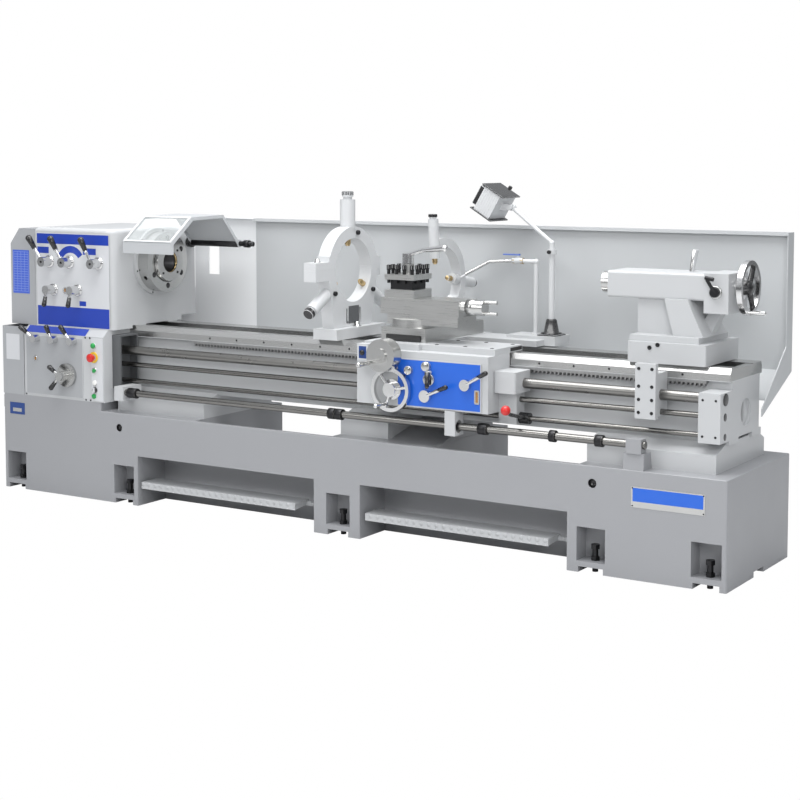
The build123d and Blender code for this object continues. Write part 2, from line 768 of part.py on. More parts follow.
def make_coolant_pipe():
    pipe = join(rod_z(10, box_top, 1205, pipe_x, lamp_y), ball(13, pipe_x, lamp_y, 1205),
                rod_x(10, 2650, pipe_x, lamp_y, 1205), rod_x(14, 2612, 2664, lamp_y, 1206))
    stem = rod_z(6, 1206, 1232, 2638, lamp_y)
    handle = join(box(2566, 2644, lamp_y - 8, lamp_y + 8, 1230, 1235))
    hose = join(
        bar((2615, lamp_y, 1206), (2514, 520, 1200), 7),
        ball(7, 2514, 520, 1200),
        bar((2514, 520, 1200), (2415, 436, 1130), 7, 5),
        rod_z(18, box_top, box_top + 6, pipe_x, lamp_y),
    )
    return join(pipe, stem, handle, hose)


def make_follow_rest():
    x0, x1 = 2300, 2350
    centre_y, centre_z = 400, 1115
    outer = rod_x(192, x0, x1, centre_y, centre_z) - rod_x(150, x0 - 1, x1 + 1, centre_y, centre_z)
    keep = slab_yz(((centre_y - 60, 1400), (centre_y, centre_z), (470, 880), (700, 880), (700, 1400)), x0, x1)
    arc = outer & keep
    foot = box(saddle_start + 3, 2199, 432, 540, saddle_top, 960)
    shelf = box(saddle_start + 3, x1, 432, 540, 938, 962)
    web = slab_yz(((440, 955), (538, 955), (560, 1010), (520, 1040), (470, 990)), x0, x1)
    top_tip = polar(100, 60, centre_y, 1150)
    jaw = join(bar((2325, top_tip[0] - 30, 1218), (2325, 346, 1392), 23), bar((2325, 346, 1385), (2325, 343, 1412), 14, 19))
    finger = bar((2325, 362, 1200), (2325, 358, 1240), 12)
    rear = join(bar((2325, 505, 1118), (2325, 690, 1088), 24), bar((2325, 466, 1124), (2325, 510, 1117), 12),
                bar((2325, 688, 1088), (2325, 708, 1085), 19))
    return join(arc, foot, shelf, web, jaw, finger, rear)


# Steady rest

def make_steady_base():
    foot = box(1800, 1930, 165, 565, saddle_bottom, 890)
    ring = rod_x(steady_outer, steady_x0, steady_x1, axis_y, axis_z)
    legs = slab_yz(((205, 885), (505, 885), (545, 1080), (560, steady_split - 1), (165, steady_split - 1), (175, 1080)),
                   steady_x0, steady_x1)
    opening = rod_x(steady_inner, steady_x0 - 1, steady_x1 + 1, axis_y, axis_z)
    lower = (ring + legs) - opening - box(1700, 2000, 0, 800, steady_split, 1500)
    lower -= box(steady_x0 - 1, steady_x1 + 1, 300, 420, 905, 975)
    lug = box(steady_x0, steady_x1, 60, 175, 1110, steady_split)
    hinge_lug = join(rod_x(26, 1838, 1877, steady_hinge_y, steady_split), box(1838, 1877, 535, 601, 1110, steady_split))
    body = join(foot, lower, lug, hinge_lug)
    for x0, x1 in ((steady_x0 - 1, 1838), (1877, steady_x1 + 1)):
        body -= rod_x(17, x0, x1, steady_hinge_y, steady_split)
    body -= rod_x(10 + running, 1830, 1885, steady_hinge_y, steady_split)
    middle = (steady_x0 + steady_x1) / 2
    for angle in (210, 330):
        start = polar(angle, 165, axis_y, axis_z)
        end = polar(angle, 335, axis_y, axis_z)
        knob = polar(angle, 365, axis_y, axis_z)
        body += [bar((middle, *start), (middle, *end), 29), bar((middle, *end), (middle, *knob), 22, 26)]
    body -= rod_x(steady_inner - 2, steady_x0 - 10, steady_x1 + 10, axis_y, axis_z)
    for angle in (210, 330):
        start = polar(angle, 100, axis_y, axis_z)
        end = polar(angle, 262, axis_y, axis_z)
        body -= bar((middle, *start), (middle, *end), finger_radius + running)
    return body


def make_steady_arch():
    split = steady_split + slide_gap
    ring = rod_x(steady_outer, steady_x0, steady_x1, axis_y, axis_z)
    sides = box(steady_x0, steady_x1, 165, 556, split, split + 60)
    top = join(ring, sides) - box(1700, 2000, 0, 800, 800, split)
    lug = box(steady_x0, steady_x1, 60, 175, split, 1195)
    housing = join(rod_z(35, 1335, 1472, 1857.5, axis_y), rod_z(20, 1471, 1485, 1857.5, axis_y),
                   rod_z(26, 1484, 1508, 1857.5, axis_y))
    top = join(top, lug, housing)
    top -= rod_x(steady_inner, steady_x0 - 60, steady_x1 + 60, axis_y, axis_z)
    top -= rod_z(finger_radius + running, 1200, 1406, 1857.5, axis_y)
    ears = []
    for x0, x1 in ((1829, 1838 - slide_gap), (1877 + slide_gap, 1886)):
        ears.append(box(x0, x1, 540, 590, split + 2, split + 44))
        ears.append(rod_x(16, x0, x1, steady_hinge_y, steady_split))
    pin = rod_x(10, 1829, 1886, steady_hinge_y, steady_split)
    clear = rod_x(30, 1838 - slide_gap, 1877 + slide_gap, steady_hinge_y, steady_split)
    return join(top - clear, *ears, pin)


def make_finger(angle):
    middle = (steady_x0 + steady_x1) / 2
    tip = polar(angle, 110, axis_y, axis_z)
    end = polar(angle, 215, axis_y, axis_z)
    nose = polar(angle, 122, axis_y, axis_z)
    return join(bar((middle, *nose), (middle, *end), finger_radius), bar((middle, *tip), (middle, *nose), 9, finger_radius))


# Tailstock

def make_tailstock_base():
    body = box(3343, 3680, 184, 540, saddle_bottom, tail_base_top)
    return fillet(body.edges().filter_by(Axis.Z), 6)


def make_tailstock_body():
    flange = box(3343, 3640, 205, 520, tail_base_top, 952)
    neck = box(3345, 3520, 280, 440, 950, 1100)
    web = slab_xz(((3520, 950), (3648, 950), (3577, 1100), (3479, 1100)), 235, 485)
    barrel = box(3218, 3742, 258, 462, 1095, 1203)
    barrel = fillet(barrel.edges().filter_by(Axis.X), 10)
    end_box = box(3639, 3742, 255, 465, 1048, 1207)
    buttress = slab_xz(((3575, 950), (3640, 950), (3690, 1060), (3640, 1060)), 330, 390)
    clamp = bar((3535, 380, 1195), (3551, 380, 1292), 9, 12)
    body = join(flange, neck, web, barrel, end_box, buttress, clamp)
    body -= rod_x(quill_radius + running, 3210, 3700, axis_y, axis_z)
    body -= rod_x(20 + running, 3690, 3750, axis_y, axis_z)
    return body - rod_y(10 + running, 250, 285, *quill_lock)


quill_lock = (3690, 1133)


def make_quill():
    body = join(rod_x(quill_radius, quill_nose, 3655, axis_y, axis_z))
    taper = Pos(quill_nose + 60, axis_y, axis_z) * Rot(0, 90, 0) * Cone(22, 19, 124)
    return body - taper


def make_tail_handwheel():
    rim = rod_x(tail_wheel_radius, 3775, 3797, axis_y, axis_z)
    rim -= rod_x(tail_wheel_radius - 18, 3770, 3800, axis_y, axis_z)
    hub = join(rod_x(24, 3742 + slide_gap, 3800, axis_y, axis_z), rod_x(46, 3742 + slide_gap, 3764, axis_y, axis_z),
               rod_x(20, 3700, 3745, axis_y, axis_z))
    spokes = []
    for angle in (60, 180, 300):
        end = polar(angle, tail_wheel_radius - 10, axis_y, axis_z)
        spokes.append(bar((3786, axis_y, axis_z), (3786, *end), 10))
    y, z = polar(262, tail_wheel_radius - 12, axis_y, axis_z)
    handle = bar((3790, y, z), (tail_handle_tip - 10, y, z), 7, 10)
    return join(rim, hub, *spokes, handle, ball(10, tail_handle_tip - 10, y, z))


def make_quill_lock():
    x, z = quill_lock
    hub = join(rod_y(19, 232, 255 - slide_gap, x, z), rod_y(10, 250, 283, x, z))
    arm = bar((x, 238, z), (3662, 226, 1185), 7)
    cross = bar((3655, 226, 1192), (3690, 226, 1186), 8)
    return join(hub, arm, cross)


# Write every node

put("base", make_base())
put("levelling_bolts", make_levelling_bolts())
put("bed", make_bed())
put("gap_bridge", make_gap_bridge())
put("feed_rack", make_feed_rack())
put("headstock", make_headstock())
put("end_cover", make_end_cover())
put("feed_gearbox", make_feed_gearbox())
put("switch_panel", make_switch_panel())
put("rod_box", make_rod_box())
put("splash_guard", make_splash_guard())
put("rod_end_bracket", make_rod_end_bracket())
put("spindle", make_spindle())
put("chuck_guard", make_chuck_guard())
put("guard_window", make_guard_window())
for name, (x, z), grip in zip(("left", "middle", "right"), upper_levers, upper_grips):
    put(f"speed_lever_{name}", make_lever(x, z, head_front, 24, 60, grip, 12, 15))
for name, (x, z) in zip(("direction_lever", "pitch_lever"), lower_levers):
    put(name, make_lever(x, z, head_front, 22, 60, lower_grip, 10, 10))
for name, x, grip in zip(("left", "middle", "right"), gearbox_lever_x, gearbox_grips):
    put(f"gearbox_lever_{name}", make_lever(x, gearbox_lever_z, -plate_rise, 19, 36, grip, 8, 12))
put("gearbox_dial", make_dial())
put("e_stop", make_stop_button())
put("start_button", make_start_button())
put("lead_screw", make_rod(lead_radius, lead_z, bed_end - 9))
put("feed_rod", make_rod(feed_radius, feed_z, bed_end))
put("control_rod", make_rod(control_radius, control_z, bed_end))
put("brake_treadle", make_treadle())
put("stop_rod", make_stop_rod())
put("rod_support", make_rod_support())
put("saddle", make_saddle())
put("apron", make_apron())
put("cross_slide", make_cross_slide())
put("compound_base", make_compound_base())
put("top_slide", make_top_slide())
put("toolpost", make_toolpost())
put("toolpost_lever", make_toolpost_lever())
put("compound_crank", make_crank())
put("cross_handwheel", make_cross_handwheel())
put("apron_handwheel", make_handwheel(wheel_x, wheel_z, 95))
put("half_nut_lever", make_lever(*half_nut, -6, 24, 22, half_nut_grip, 22, 10))
put("feed_lever", make_lever(*feed_hub, -6, 26, 22, feed_grip, 22, 10))
put("control_lever", make_control_lever())
put("lamp_post", make_lamp_post())
put("lamp_arm", make_lamp_arm())
put("lamp_head", make_lamp_head())
put("coolant_pipe", make_coolant_pipe())
put("follow_rest", make_follow_rest())
put("steady_base", make_steady_base())
put("steady_arch", make_steady_arch())
for name, angle in (("top", 90), ("front", 210), ("rear", 330)):
    put(f"steady_finger_{name}", make_finger(angle))
put("tailstock_base", make_tailstock_base())
put("tailstock_body", make_tailstock_body())
put("quill", make_quill())
put("tail_handwheel", make_tail_handwheel())
put("quill_lock", make_quill_lock())
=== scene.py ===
from math import cos, pi, radians, sin

import bmesh
import bpy
from mathutils import Matrix, Vector


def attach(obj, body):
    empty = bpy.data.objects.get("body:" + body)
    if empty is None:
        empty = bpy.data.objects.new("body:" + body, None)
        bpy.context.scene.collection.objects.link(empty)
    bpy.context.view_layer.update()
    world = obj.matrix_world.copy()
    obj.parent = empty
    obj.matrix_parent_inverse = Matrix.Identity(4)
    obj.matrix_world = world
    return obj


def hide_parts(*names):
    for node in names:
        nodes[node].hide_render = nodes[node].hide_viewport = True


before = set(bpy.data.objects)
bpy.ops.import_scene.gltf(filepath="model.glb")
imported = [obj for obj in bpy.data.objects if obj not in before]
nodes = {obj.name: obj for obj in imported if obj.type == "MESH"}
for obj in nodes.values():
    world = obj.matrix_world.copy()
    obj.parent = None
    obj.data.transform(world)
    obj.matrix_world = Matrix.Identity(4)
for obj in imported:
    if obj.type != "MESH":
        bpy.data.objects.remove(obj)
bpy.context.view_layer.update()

# The CAD's origin, in millimetres from the base's left end and front face
ORIGIN_X = 1932.5
ORIGIN_Y = 269.0

# Shared places, in millimetres from the same corner
AXIS_Y = 360
AXIS_Z = 1148
RODS_Y = 130
STOP_Y = 22
STOP_Z = 538
WAYS_Z = 790.5
SPLASH_SEAM_X = 1040

# Directions
FRONT = (0, -1, 0)
BACK = (0, 1, 0)
LEFT = (-1, 0, 0)
RIGHT = (1, 0, 0)
UP = (0, 0, 1)


def mm(x, y, z):
    return Vector(((x - ORIGIN_X) / 1000, (y - ORIGIN_Y) / 1000, z / 1000))


# Material helpers

def new_material(name, color, roughness, metallic=0.0, coat=0.0):
    material = bpy.data.materials.new(name)
    material.use_nodes = True
    shader = material.node_tree.nodes["Principled BSDF"]
    shader.inputs["Base Color"].default_value = (*color, 1)
    shader.inputs["Roughness"].default_value = roughness
    shader.inputs["Metallic"].default_value = metallic
    shader.inputs["Coat Weight"].default_value = coat
    return material


def shade(color, share):
    return tuple(channel * share for channel in color)


def object_position(tree):
    return tree.nodes.new("ShaderNodeTexCoord").outputs["Object"]


def noise(tree, scale, detail=3.0, stretch=None):
    """Noise in the object's own space, stretched along an axis when asked."""
    texture = tree.nodes.new("ShaderNodeTexNoise")
    texture.inputs["Scale"].default_value = scale
    texture.inputs["Detail"].default_value = detail
    source = object_position(tree)
    if stretch:
        mapping = tree.nodes.new("ShaderNodeMapping")
        mapping.inputs["Scale"].default_value = stretch
        tree.links.new(source, mapping.inputs["Vector"])
        source = mapping.outputs["Vector"]
    tree.links.new(source, texture.inputs["Vector"])
    return texture.outputs["Fac"]


def ground_lines(tree):
    """Fine grinding lines along X."""
    return noise(tree, scale=8, detail=4, stretch=(1, 60, 60))


def add_bump(tree, shader, height, strength, distance):
    bump = tree.nodes.new("ShaderNodeBump")
    bump.inputs["Strength"].default_value = strength
    bump.inputs["Distance"].default_value = distance
    tree.links.new(height, bump.inputs["Height"])
    tree.links.new(bump.outputs["Normal"], shader.inputs["Normal"])


def remap(tree, value, low, high):
    node = tree.nodes.new("ShaderNodeMapRange")
    node.inputs["To Min"].default_value = low
    node.inputs["To Max"].default_value = high
    tree.links.new(value, node.inputs["Value"])
    return node.outputs["Result"]


def threshold(tree, value, start, end):
    """Zero up to the start, one from the end on."""
    node = tree.nodes.new("ShaderNodeMapRange")
    node.inputs["From Min"].default_value = start
    node.inputs["From Max"].default_value = end
    tree.links.new(value, node.inputs["Value"])
    return node.outputs["Result"]


def split_position(tree):
    split = tree.nodes.new("ShaderNodeSeparateXYZ")
    tree.links.new(object_position(tree), split.inputs["Vector"])
    return split


def vary_color(tree, shader, factor, first, second):
    node = tree.nodes.new("ShaderNodeMix")
    node.data_type = "RGBA"
    node.inputs["A"].default_value = (*first, 1)
    node.inputs["B"].default_value = (*second, 1)
    tree.links.new(factor, node.inputs["Factor"])
    tree.links.new(node.outputs["Result"], shader.inputs["Base Color"])


def vary_roughness(tree, shader, value, low, high):
    tree.links.new(remap(tree, value, low, high), shader.inputs["Roughness"])


def paint(name, color, roughness=0.38):
    """Sprayed enamel: a fine orange peel, a slow drift in tone and a soft clear sheen."""
    material = new_material(name, color, roughness, coat=0.15)
    tree = material.node_tree
    shader = tree.nodes["Principled BSDF"]
    vary_color(tree, shader, noise(tree, scale=1.6, detail=2), shade(color, 0.93), color)
    vary_roughness(tree, shader, noise(tree, scale=9), roughness - 0.05, roughness + 0.07)
    add_bump(tree, shader, noise(tree, scale=420, detail=2), strength=0.12, distance=0.0006)
    return material


def bright(name, color, roughness):
    """Turned or plated metal: an even tone with a soft drift in its polish."""
    material = new_material(name, color, roughness, metallic=1.0)
    tree = material.node_tree
    shader = tree.nodes["Principled BSDF"]
    vary_color(tree, shader, noise(tree, scale=14, detail=2), shade(color, 0.9), color)
    vary_roughness(tree, shader, noise(tree, scale=22, detail=2), roughness - 0.05, roughness + 0.07)
    return material


def ground(name, color, roughness):
    """Ground steel: fine lines along one axis."""
    material = new_material(name, color, roughness, metallic=1.0)
    tree = material.node_tree
    shader = tree.nodes["Principled BSDF"]
    lines = ground_lines(tree)
    vary_color(tree, shader, lines, shade(color, 0.8), color)
    vary_roughness(tree, shader, lines, roughness - 0.08, roughness + 0.12)
    add_bump(tree, shader, lines, strength=0.1, distance=0.0004)
    return material


def plastic(name, color, roughness=0.3):
    material = new_material(name, color, roughness, coat=0.3)
    tree = material.node_tree
    shader = tree.nodes["Principled BSDF"]
    vary_roughness(tree, shader, noise(tree, scale=60), roughness - 0.05, roughness + 0.1)
    add_bump(tree, shader, noise(tree, scale=700, detail=2), strength=0.08, distance=0.0003)
    return material


def way_finish(name, paint_color, steel_color):
    """Painted casting with its ground ways left bare above their underside."""
    edge = mm(0, 0, WAYS_Z).z
    soft = 0.0006
    material = paint(name, paint_color)
    tree = material.node_tree
    painted = tree.nodes["Principled BSDF"]
    steel = tree.nodes.new("ShaderNodeBsdfPrincipled")
    vary_color(tree, steel, ground_lines(tree), shade(steel_color, 0.82), steel_color)
    steel.inputs["Metallic"].default_value = 1.0
    steel.inputs["Roughness"].default_value = 0.27
    above = threshold(tree, split_position(tree).outputs["Z"], edge, edge + soft)
    blend = tree.nodes.new("ShaderNodeMixShader")
    tree.links.new(above, blend.inputs[0])
    tree.links.new(painted.outputs["BSDF"], blend.inputs[1])
    tree.links.new(steel.outputs["BSDF"], blend.inputs[2])
    tree.links.new(blend.outputs["Shader"], tree.nodes["Material Output"].inputs["Surface"])
    return material


def window_glass():
    material = new_material("window_glass", (0.80, 0.84, 0.84), 0.06)
    tree = material.node_tree
    shader = tree.nodes["Principled BSDF"]
    shader.inputs["Alpha"].default_value = 0.2
    vary_roughness(tree, shader, noise(tree, scale=30), 0.03, 0.1)
    return material


def sight_glass():
    material = new_material("oil_glass", (0.35, 0.16, 0.03), 0.08, coat=0.6)
    tree = material.node_tree
    shader = tree.nodes["Principled BSDF"]
    add_bump(tree, shader, noise(tree, scale=90), strength=0.05, distance=0.0003)
    return material


def treadle_material():
    """Tread plate: raised lozenges leaning both ways."""
    material = paint("tread_plate", (0.48, 0.49, 0.50), 0.35)
    tree = material.node_tree
    both = tree.nodes.new("ShaderNodeMath")
    both.operation = "MAXIMUM"
    for index, lean in enumerate((45, -45)):
        mapping = tree.nodes.new("ShaderNodeMapping")
        mapping.inputs["Rotation"].default_value = (0, 0, radians(lean))
        mapping.inputs["Scale"].default_value = (38, 95, 38)
        tree.links.new(object_position(tree), mapping.inputs["Vector"])
        cells = tree.nodes.new("ShaderNodeTexVoronoi")
        cells.inputs["Scale"].default_value = 1.0
        cells.inputs["Randomness"].default_value = 0.0
        tree.links.new(mapping.outputs["Vector"], cells.inputs["Vector"])
        lozenges = threshold(tree, cells.outputs["Distance"], 0.42, 0.22)
        tree.links.new(lozenges, both.inputs[index])
    add_bump(tree, tree.nodes["Principled BSDF"], both.outputs["Value"], strength=0.9, distance=0.003)
    return material


def screw_material():
    """Lead screw: dark steel with its thread as a relief along the rod."""
    material = bright("screw_steel", (0.25, 0.245, 0.235), 0.28)
    tree = material.node_tree
    wave = tree.nodes.new("ShaderNodeTexWave")
    wave.bands_direction = "X"
    wave.inputs["Scale"].default_value = 40
    wave.inputs["Distortion"].default_value = 0.0
    tree.links.new(object_position(tree), wave.inputs["Vector"])
    add_bump(tree, tree.nodes["Principled BSDF"], wave.outputs["Fac"], strength=0.2, distance=0.0008)
    return material


def splash_material():
    """Sheet panels: the short left one is lighter than the long one, partly its own paler coat and partly
    painted light that brightens it against the shadow the headstock and chuck guard cast on it.
    """
    # The left colour is partly painted light: brighter than the sheet's own coat, to offset the headstock's
    # and chuck guard's shadow.
    left_color_and_painted_light = (0.80, 0.81, 0.82)
    long_color = (0.50, 0.515, 0.525)
    seam = mm(SPLASH_SEAM_X - 1, 0, 0).x
    seam_end = mm(SPLASH_SEAM_X + 1, 0, 0).x
    material = guard_paint.copy()
    material.name = "splash_paint"
    tree = material.node_tree
    past_seam = threshold(tree, split_position(tree).outputs["X"], seam, seam_end)
    vary_color(tree, tree.nodes["Principled BSDF"], past_seam, left_color_and_painted_light, long_color)
    return material


# Materials

LIGHT_GREY = (0.52, 0.53, 0.54)
BASE_GREY = (0.32, 0.325, 0.34)
STEEL = (0.60, 0.60, 0.59)

light_paint = paint("light_paint", LIGHT_GREY)
base_paint = paint("base_paint", BASE_GREY, 0.42)
cover_paint = paint("cover_paint", (0.38, 0.39, 0.405), 0.4)
pale_paint = paint("pale_paint", (0.62, 0.63, 0.64), 0.34)
dark_paint = paint("dark_paint", (0.10, 0.105, 0.11), 0.45)
guard_paint = paint("guard_paint", (0.50, 0.515, 0.53), 0.45)
# Splash guard finish: left of the seam it is partly painted light.
splash_paint = splash_material()
gear_paint = paint("gear_paint", (0.37, 0.38, 0.395), 0.36)
panel_paint = paint("panel_paint", (0.62, 0.63, 0.65), 0.36)
blue_paint = paint("blue_paint", (0.012, 0.12, 0.62), 0.32)
band_paint = paint("band_paint", (0.014, 0.05, 0.40), 0.32)
dark_blue_paint = paint("dark_blue_paint", (0.012, 0.05, 0.22), 0.35)
chart_paint = paint("chart_paint", (0.06, 0.13, 0.60), 0.36)
pale_blue = paint("pale_blue", (0.34, 0.42, 0.72), 0.36)
tread_plate = treadle_material()
red_plastic = plastic("red_plastic", (0.60, 0.015, 0.012))
green_plastic = plastic("green_plastic", (0.01, 0.30, 0.06))
white_plastic = plastic("white_plastic", (0.80, 0.80, 0.78))
yellow_plastic = plastic("yellow_plastic", (0.80, 0.50, 0.02))
black_plastic = plastic("black_plastic", (0.012, 0.012, 0.013), 0.25)
rubber = plastic("rubber", (0.02, 0.02, 0.02), 0.6)
black_steel = bright("black_steel", (0.045, 0.045, 0.047), 0.38)
rod_steel = bright("rod_steel", (0.23, 0.225, 0.215), 0.22)
rack_steel = bright("rack_steel", (0.40, 0.40, 0.40), 0.45)
screw_steel = screw_material()
ground_steel = ground("ground_steel", STEEL, 0.28)
machined = bright("machined", (0.58, 0.58, 0.57), 0.22)
chrome = bright("chrome", (0.74, 0.74, 0.74), 0.15)
brass = bright("brass", (0.60, 0.45, 0.24), 0.26)
bed_finish = way_finish("bed_finish", LIGHT_GREY, STEEL)
bridge_finish = way_finish("bridge_finish", LIGHT_GREY, STEEL)
glass = window_glass()
oil_glass = sight_glass()

# The finish of each node
FINISHES = {
    base_paint: ("base",),
    black_steel: ("levelling_bolts", "quill_lock"),
    bed_finish: ("bed",),
    bridge_finish: ("gap_bridge",),
    cover_paint: ("end_cover",),
    light_paint: ("headstock", "feed_gearbox", "rod_end_bracket", "rod_support", "apron",
                  "saddle", "tailstock_base", "tailstock_body"),
    pale_paint: ("steady_base", "steady_arch", "follow_rest", "lamp_post", "lamp_arm", "lamp_head",
                 "coolant_pipe"),
    panel_paint: ("switch_panel",),
    dark_paint: ("rod_box",),
    splash_paint: ("splash_guard",),
    guard_paint: ("chuck_guard",),
    glass: ("guard_window",),
    rack_steel: ("feed_rack",),
    rod_steel: ("feed_rod", "control_rod", "stop_rod"),
    screw_steel: ("lead_screw",),
    machined: ("spindle", "gearbox_dial", "quill", "compound_crank", "cross_handwheel"),
    ground_steel: ("cross_slide", "compound_base", "top_slide", "toolpost"),
    chrome: ("speed_lever_left", "speed_lever_middle", "speed_lever_right", "direction_lever", "pitch_lever",
             "gearbox_lever_left", "gearbox_lever_middle", "gearbox_lever_right", "toolpost_lever",
             "apron_handwheel", "half_nut_lever", "feed_lever", "tail_handwheel"),
    red_plastic: ("e_stop",),
    green_plastic: ("start_button",),
    black_plastic: ("control_lever",),
    tread_plate: ("brake_treadle",),
    brass: ("steady_finger_top", "steady_finger_front", "steady_finger_rear"),
}
for material, names in FINISHES.items():
    for name in names:
        for material_slot in nodes[name].material_slots:
            material_slot.material = material


# Mesh helpers

def finish_piece(name, mesh_data, material, body):
    mesh = bpy.data.meshes.new(name)
    mesh_data.to_mesh(mesh)
    mesh_data.free()
    piece = bpy.data.objects.new(name, mesh)
    bpy.context.scene.collection.objects.link(piece)
    mesh.materials.append(material)
    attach(piece, body)
    return piece


def new_block(low, high):
    """Block between two corners in millimetres."""
    mesh_data = bmesh.new()
    bmesh.ops.create_cube(mesh_data, size=1)
    first = mm(*low)
    last = mm(*high)
    matrix = Matrix.Translation((first + last) / 2) @ Matrix.Diagonal((*(last - first), 1))
    bmesh.ops.transform(mesh_data, matrix=matrix, verts=mesh_data.verts)
    return mesh_data


def ease_edges(mesh_data, offset):
    bmesh.ops.bevel(mesh_data, geom=mesh_data.edges[:], offset=offset, segments=2, affect="EDGES")


def plate(name, low, high, material, body, bevel=None):
    """Thin plate or block with eased edges. A bevel is given in millimetres."""
    mesh_data = new_block(low, high)
    ease_edges(mesh_data, bevel / 1000 if bevel else min(mm(*high) - mm(*low)) * 0.4)
    return finish_piece(name, mesh_data, material, body)


def add_turned(mesh_data, start, direction, profile, segments=24):
    """Surface of revolution: profile holds (distance along, radius) in millimetres."""
    axis = Vector(direction).normalized()
    side = axis.orthogonal().normalized()
    other = axis.cross(side)
    origin = mm(*start)
    rings = []
    for along, radius in profile:
        centre = origin + axis * along / 1000
        if radius <= 0:
            rings.append([mesh_data.verts.new(centre)])
            continue
        ring = []
        for index in range(segments):
            angle = 2 * pi * index / segments
            offset = (side * cos(angle) + other * sin(angle)) * radius / 1000
            ring.append(mesh_data.verts.new(centre + offset))
        rings.append(ring)
    for first, second in zip(rings, rings[1:]):
        for index in range(segments):
            following = (index + 1) % segments
            corners = (first[index % len(first)], first[following % len(first)],
                       second[following % len(second)], second[index % len(second)])
            unique = list(dict.fromkeys(corners))
            if len(unique) > 2:
                mesh_data.faces.new(unique)


def smooth_faces(mesh_data, limit=35):
    for face in mesh_data.faces:
        face.smooth = True
    for edge in mesh_data.edges:
        if len(edge.link_faces) == 2:
            edge.smooth = edge.calc_face_angle(0) < radians(limit)


def turned(name, start, direction, profile, material, body, segments=32):
    mesh_data = bmesh.new()
    add_turned(mesh_data, start, direction, profile, segments)
    smooth_faces(mesh_data)
    return finish_piece(name, mesh_data, material, body)


def between(start, end):
    return tuple(b - a for a, b in zip(start, end))


def around_axis(x, radius, count, first_angle):
    """Places spread evenly on a circle round the spindle line."""
    places = []
    for index in range(count):
        angle = radians(first_angle + 360 / count * index)
        places.append((x, AXIS_Y + radius * cos(angle), AXIS_Z + radius * sin(angle)))
    return places


def grip(name, start, end, radius, end_radius, body):
    """Tapered black hand grip with a rounded end, over a lever's bar."""
    direction = between(start, end)
    length = Vector(direction).length
    profile = [(0, radius * 0.8), (0, radius), (length, end_radius)]
    for degrees in range(15, 90, 15):
        angle = radians(degrees)
        profile.append((length + end_radius * sin(angle), end_radius * cos(angle)))
    profile.append((length + end_radius, 0))
    return turned(name, start, direction, profile, black_plastic, body)


def screws(name, places, direction, radius, height, body):
    """Black socket-headed screws as one piece."""
    head = [(0, radius), (height * 0.82, radius), (height, radius * 0.88), (height, radius * 0.52),
            (height * 0.35, radius * 0.52), (height * 0.35, 0)]
    mesh_data = bmesh.new()
    for place in places:
        add_turned(mesh_data, place, direction, head, 12)
    smooth_faces(mesh_data)
    return finish_piece(name, mesh_data, black_steel, body)


def knob(name, start, direction, radius, length, body):
    """Ribbed black knob: every other row of points is drawn in."""
    ribs = 20
    profile = [(0, radius * 0.6), (length * 0.25, radius * 0.62), (length * 0.3, radius),
               (length * 0.9, radius), (length, radius * 0.86), (length, 0)]
    mesh_data = bmesh.new()
    add_turned(mesh_data, start, direction, profile, ribs * 2)
    axis = Vector(direction).normalized()
    origin = mm(*start)
    for index, vert in enumerate(mesh_data.verts):
        offset = vert.co - origin
        radial = offset - axis * offset.dot(axis)
        if index % 2 and radial.length > radius * 0.0008:
            vert.co -= radial * 0.06
    return finish_piece(name, mesh_data, black_plastic, body)


def oil_sight(name, place, radius, bore, height, sunk, glass_depth):
    """Turned rim with a domed glass in it."""
    x, y, z = place
    rim = [(-sunk, radius), (height - 1, radius), (height, radius - 2), (height, bore), (3, bore)]
    dome = [(0, bore), (1, bore - 3), (1.5, 0)]
    turned(name, place, FRONT, rim, machined, "machine")
    turned(f"{name}_glass", (x, y - glass_depth, z), FRONT, dome, oil_glass, "machine")


# Headstock panel

PANEL_BACK = 39.98
PANEL_FRONT = 39.75
BAND_FRONT = PANEL_FRONT - 0.02
# Bands and blank labels: left, right, bottom and top
HEAD_BANDS = {
    "head_band_top": (208, 682, 1238, 1288),
    "head_band_low": (208, 682, 834, 930),
    "head_label_0": (210, 288, 1190, 1222),
    "head_label_1": (515, 600, 1190, 1222),
    "head_label_low": (488, 532, 938, 962),
}


def head_arc():
    """Curved blank label over the middle of the panel."""
    centre_x = 433
    centre_z = 1135
    radii = (62, 96)
    start = 35
    end = 145
    steps = 18
    mesh_data = bmesh.new()
    pairs = []
    for step in range(steps + 1):
        angle = radians(start + (end - start) * step / steps)
        pair = []
        for radius in radii:
            place = mm(centre_x + radius * cos(angle), BAND_FRONT, centre_z + radius * sin(angle))
            pair.append(mesh_data.verts.new(place))
        pairs.append(pair)
    for first, second in zip(pairs, pairs[1:]):
        mesh_data.faces.new((first[0], first[1], second[1], second[0]))
    return finish_piece("head_arc", mesh_data, band_paint, "machine")


plate("head_panel", (206, PANEL_FRONT, 832), (684, PANEL_BACK, 1292), panel_paint, "machine")
for name, (left, right, bottom, top) in HEAD_BANDS.items():
    plate(name, (left, BAND_FRONT, bottom), (right, PANEL_BACK, top), band_paint, "machine")
head_arc()
oil_sight("head_sight", (398, 40, 1012), radius=15, bore=9, height=7, sunk=1, glass_depth=3)


# The end cover's blank chart

CHART_LEFT = 40
CHART_RIGHT = 153
CHART_BOTTOM = 984
CHART_TOP = 1201
CHART_MARGIN = 6
CHART_LINES_BOTTOM = CHART_BOTTOM + 10
CHART_LINE = 1.6
CHART_ROWS = 17
ROW_PITCH = 12.3
CHART_COLUMNS = 5
COLUMN_PITCH = 24.9


def chart_line(name, left, right, bottom, top):
    plate(name, (left, 38.6, bottom), (right, 39.2, top), pale_blue, "machine")


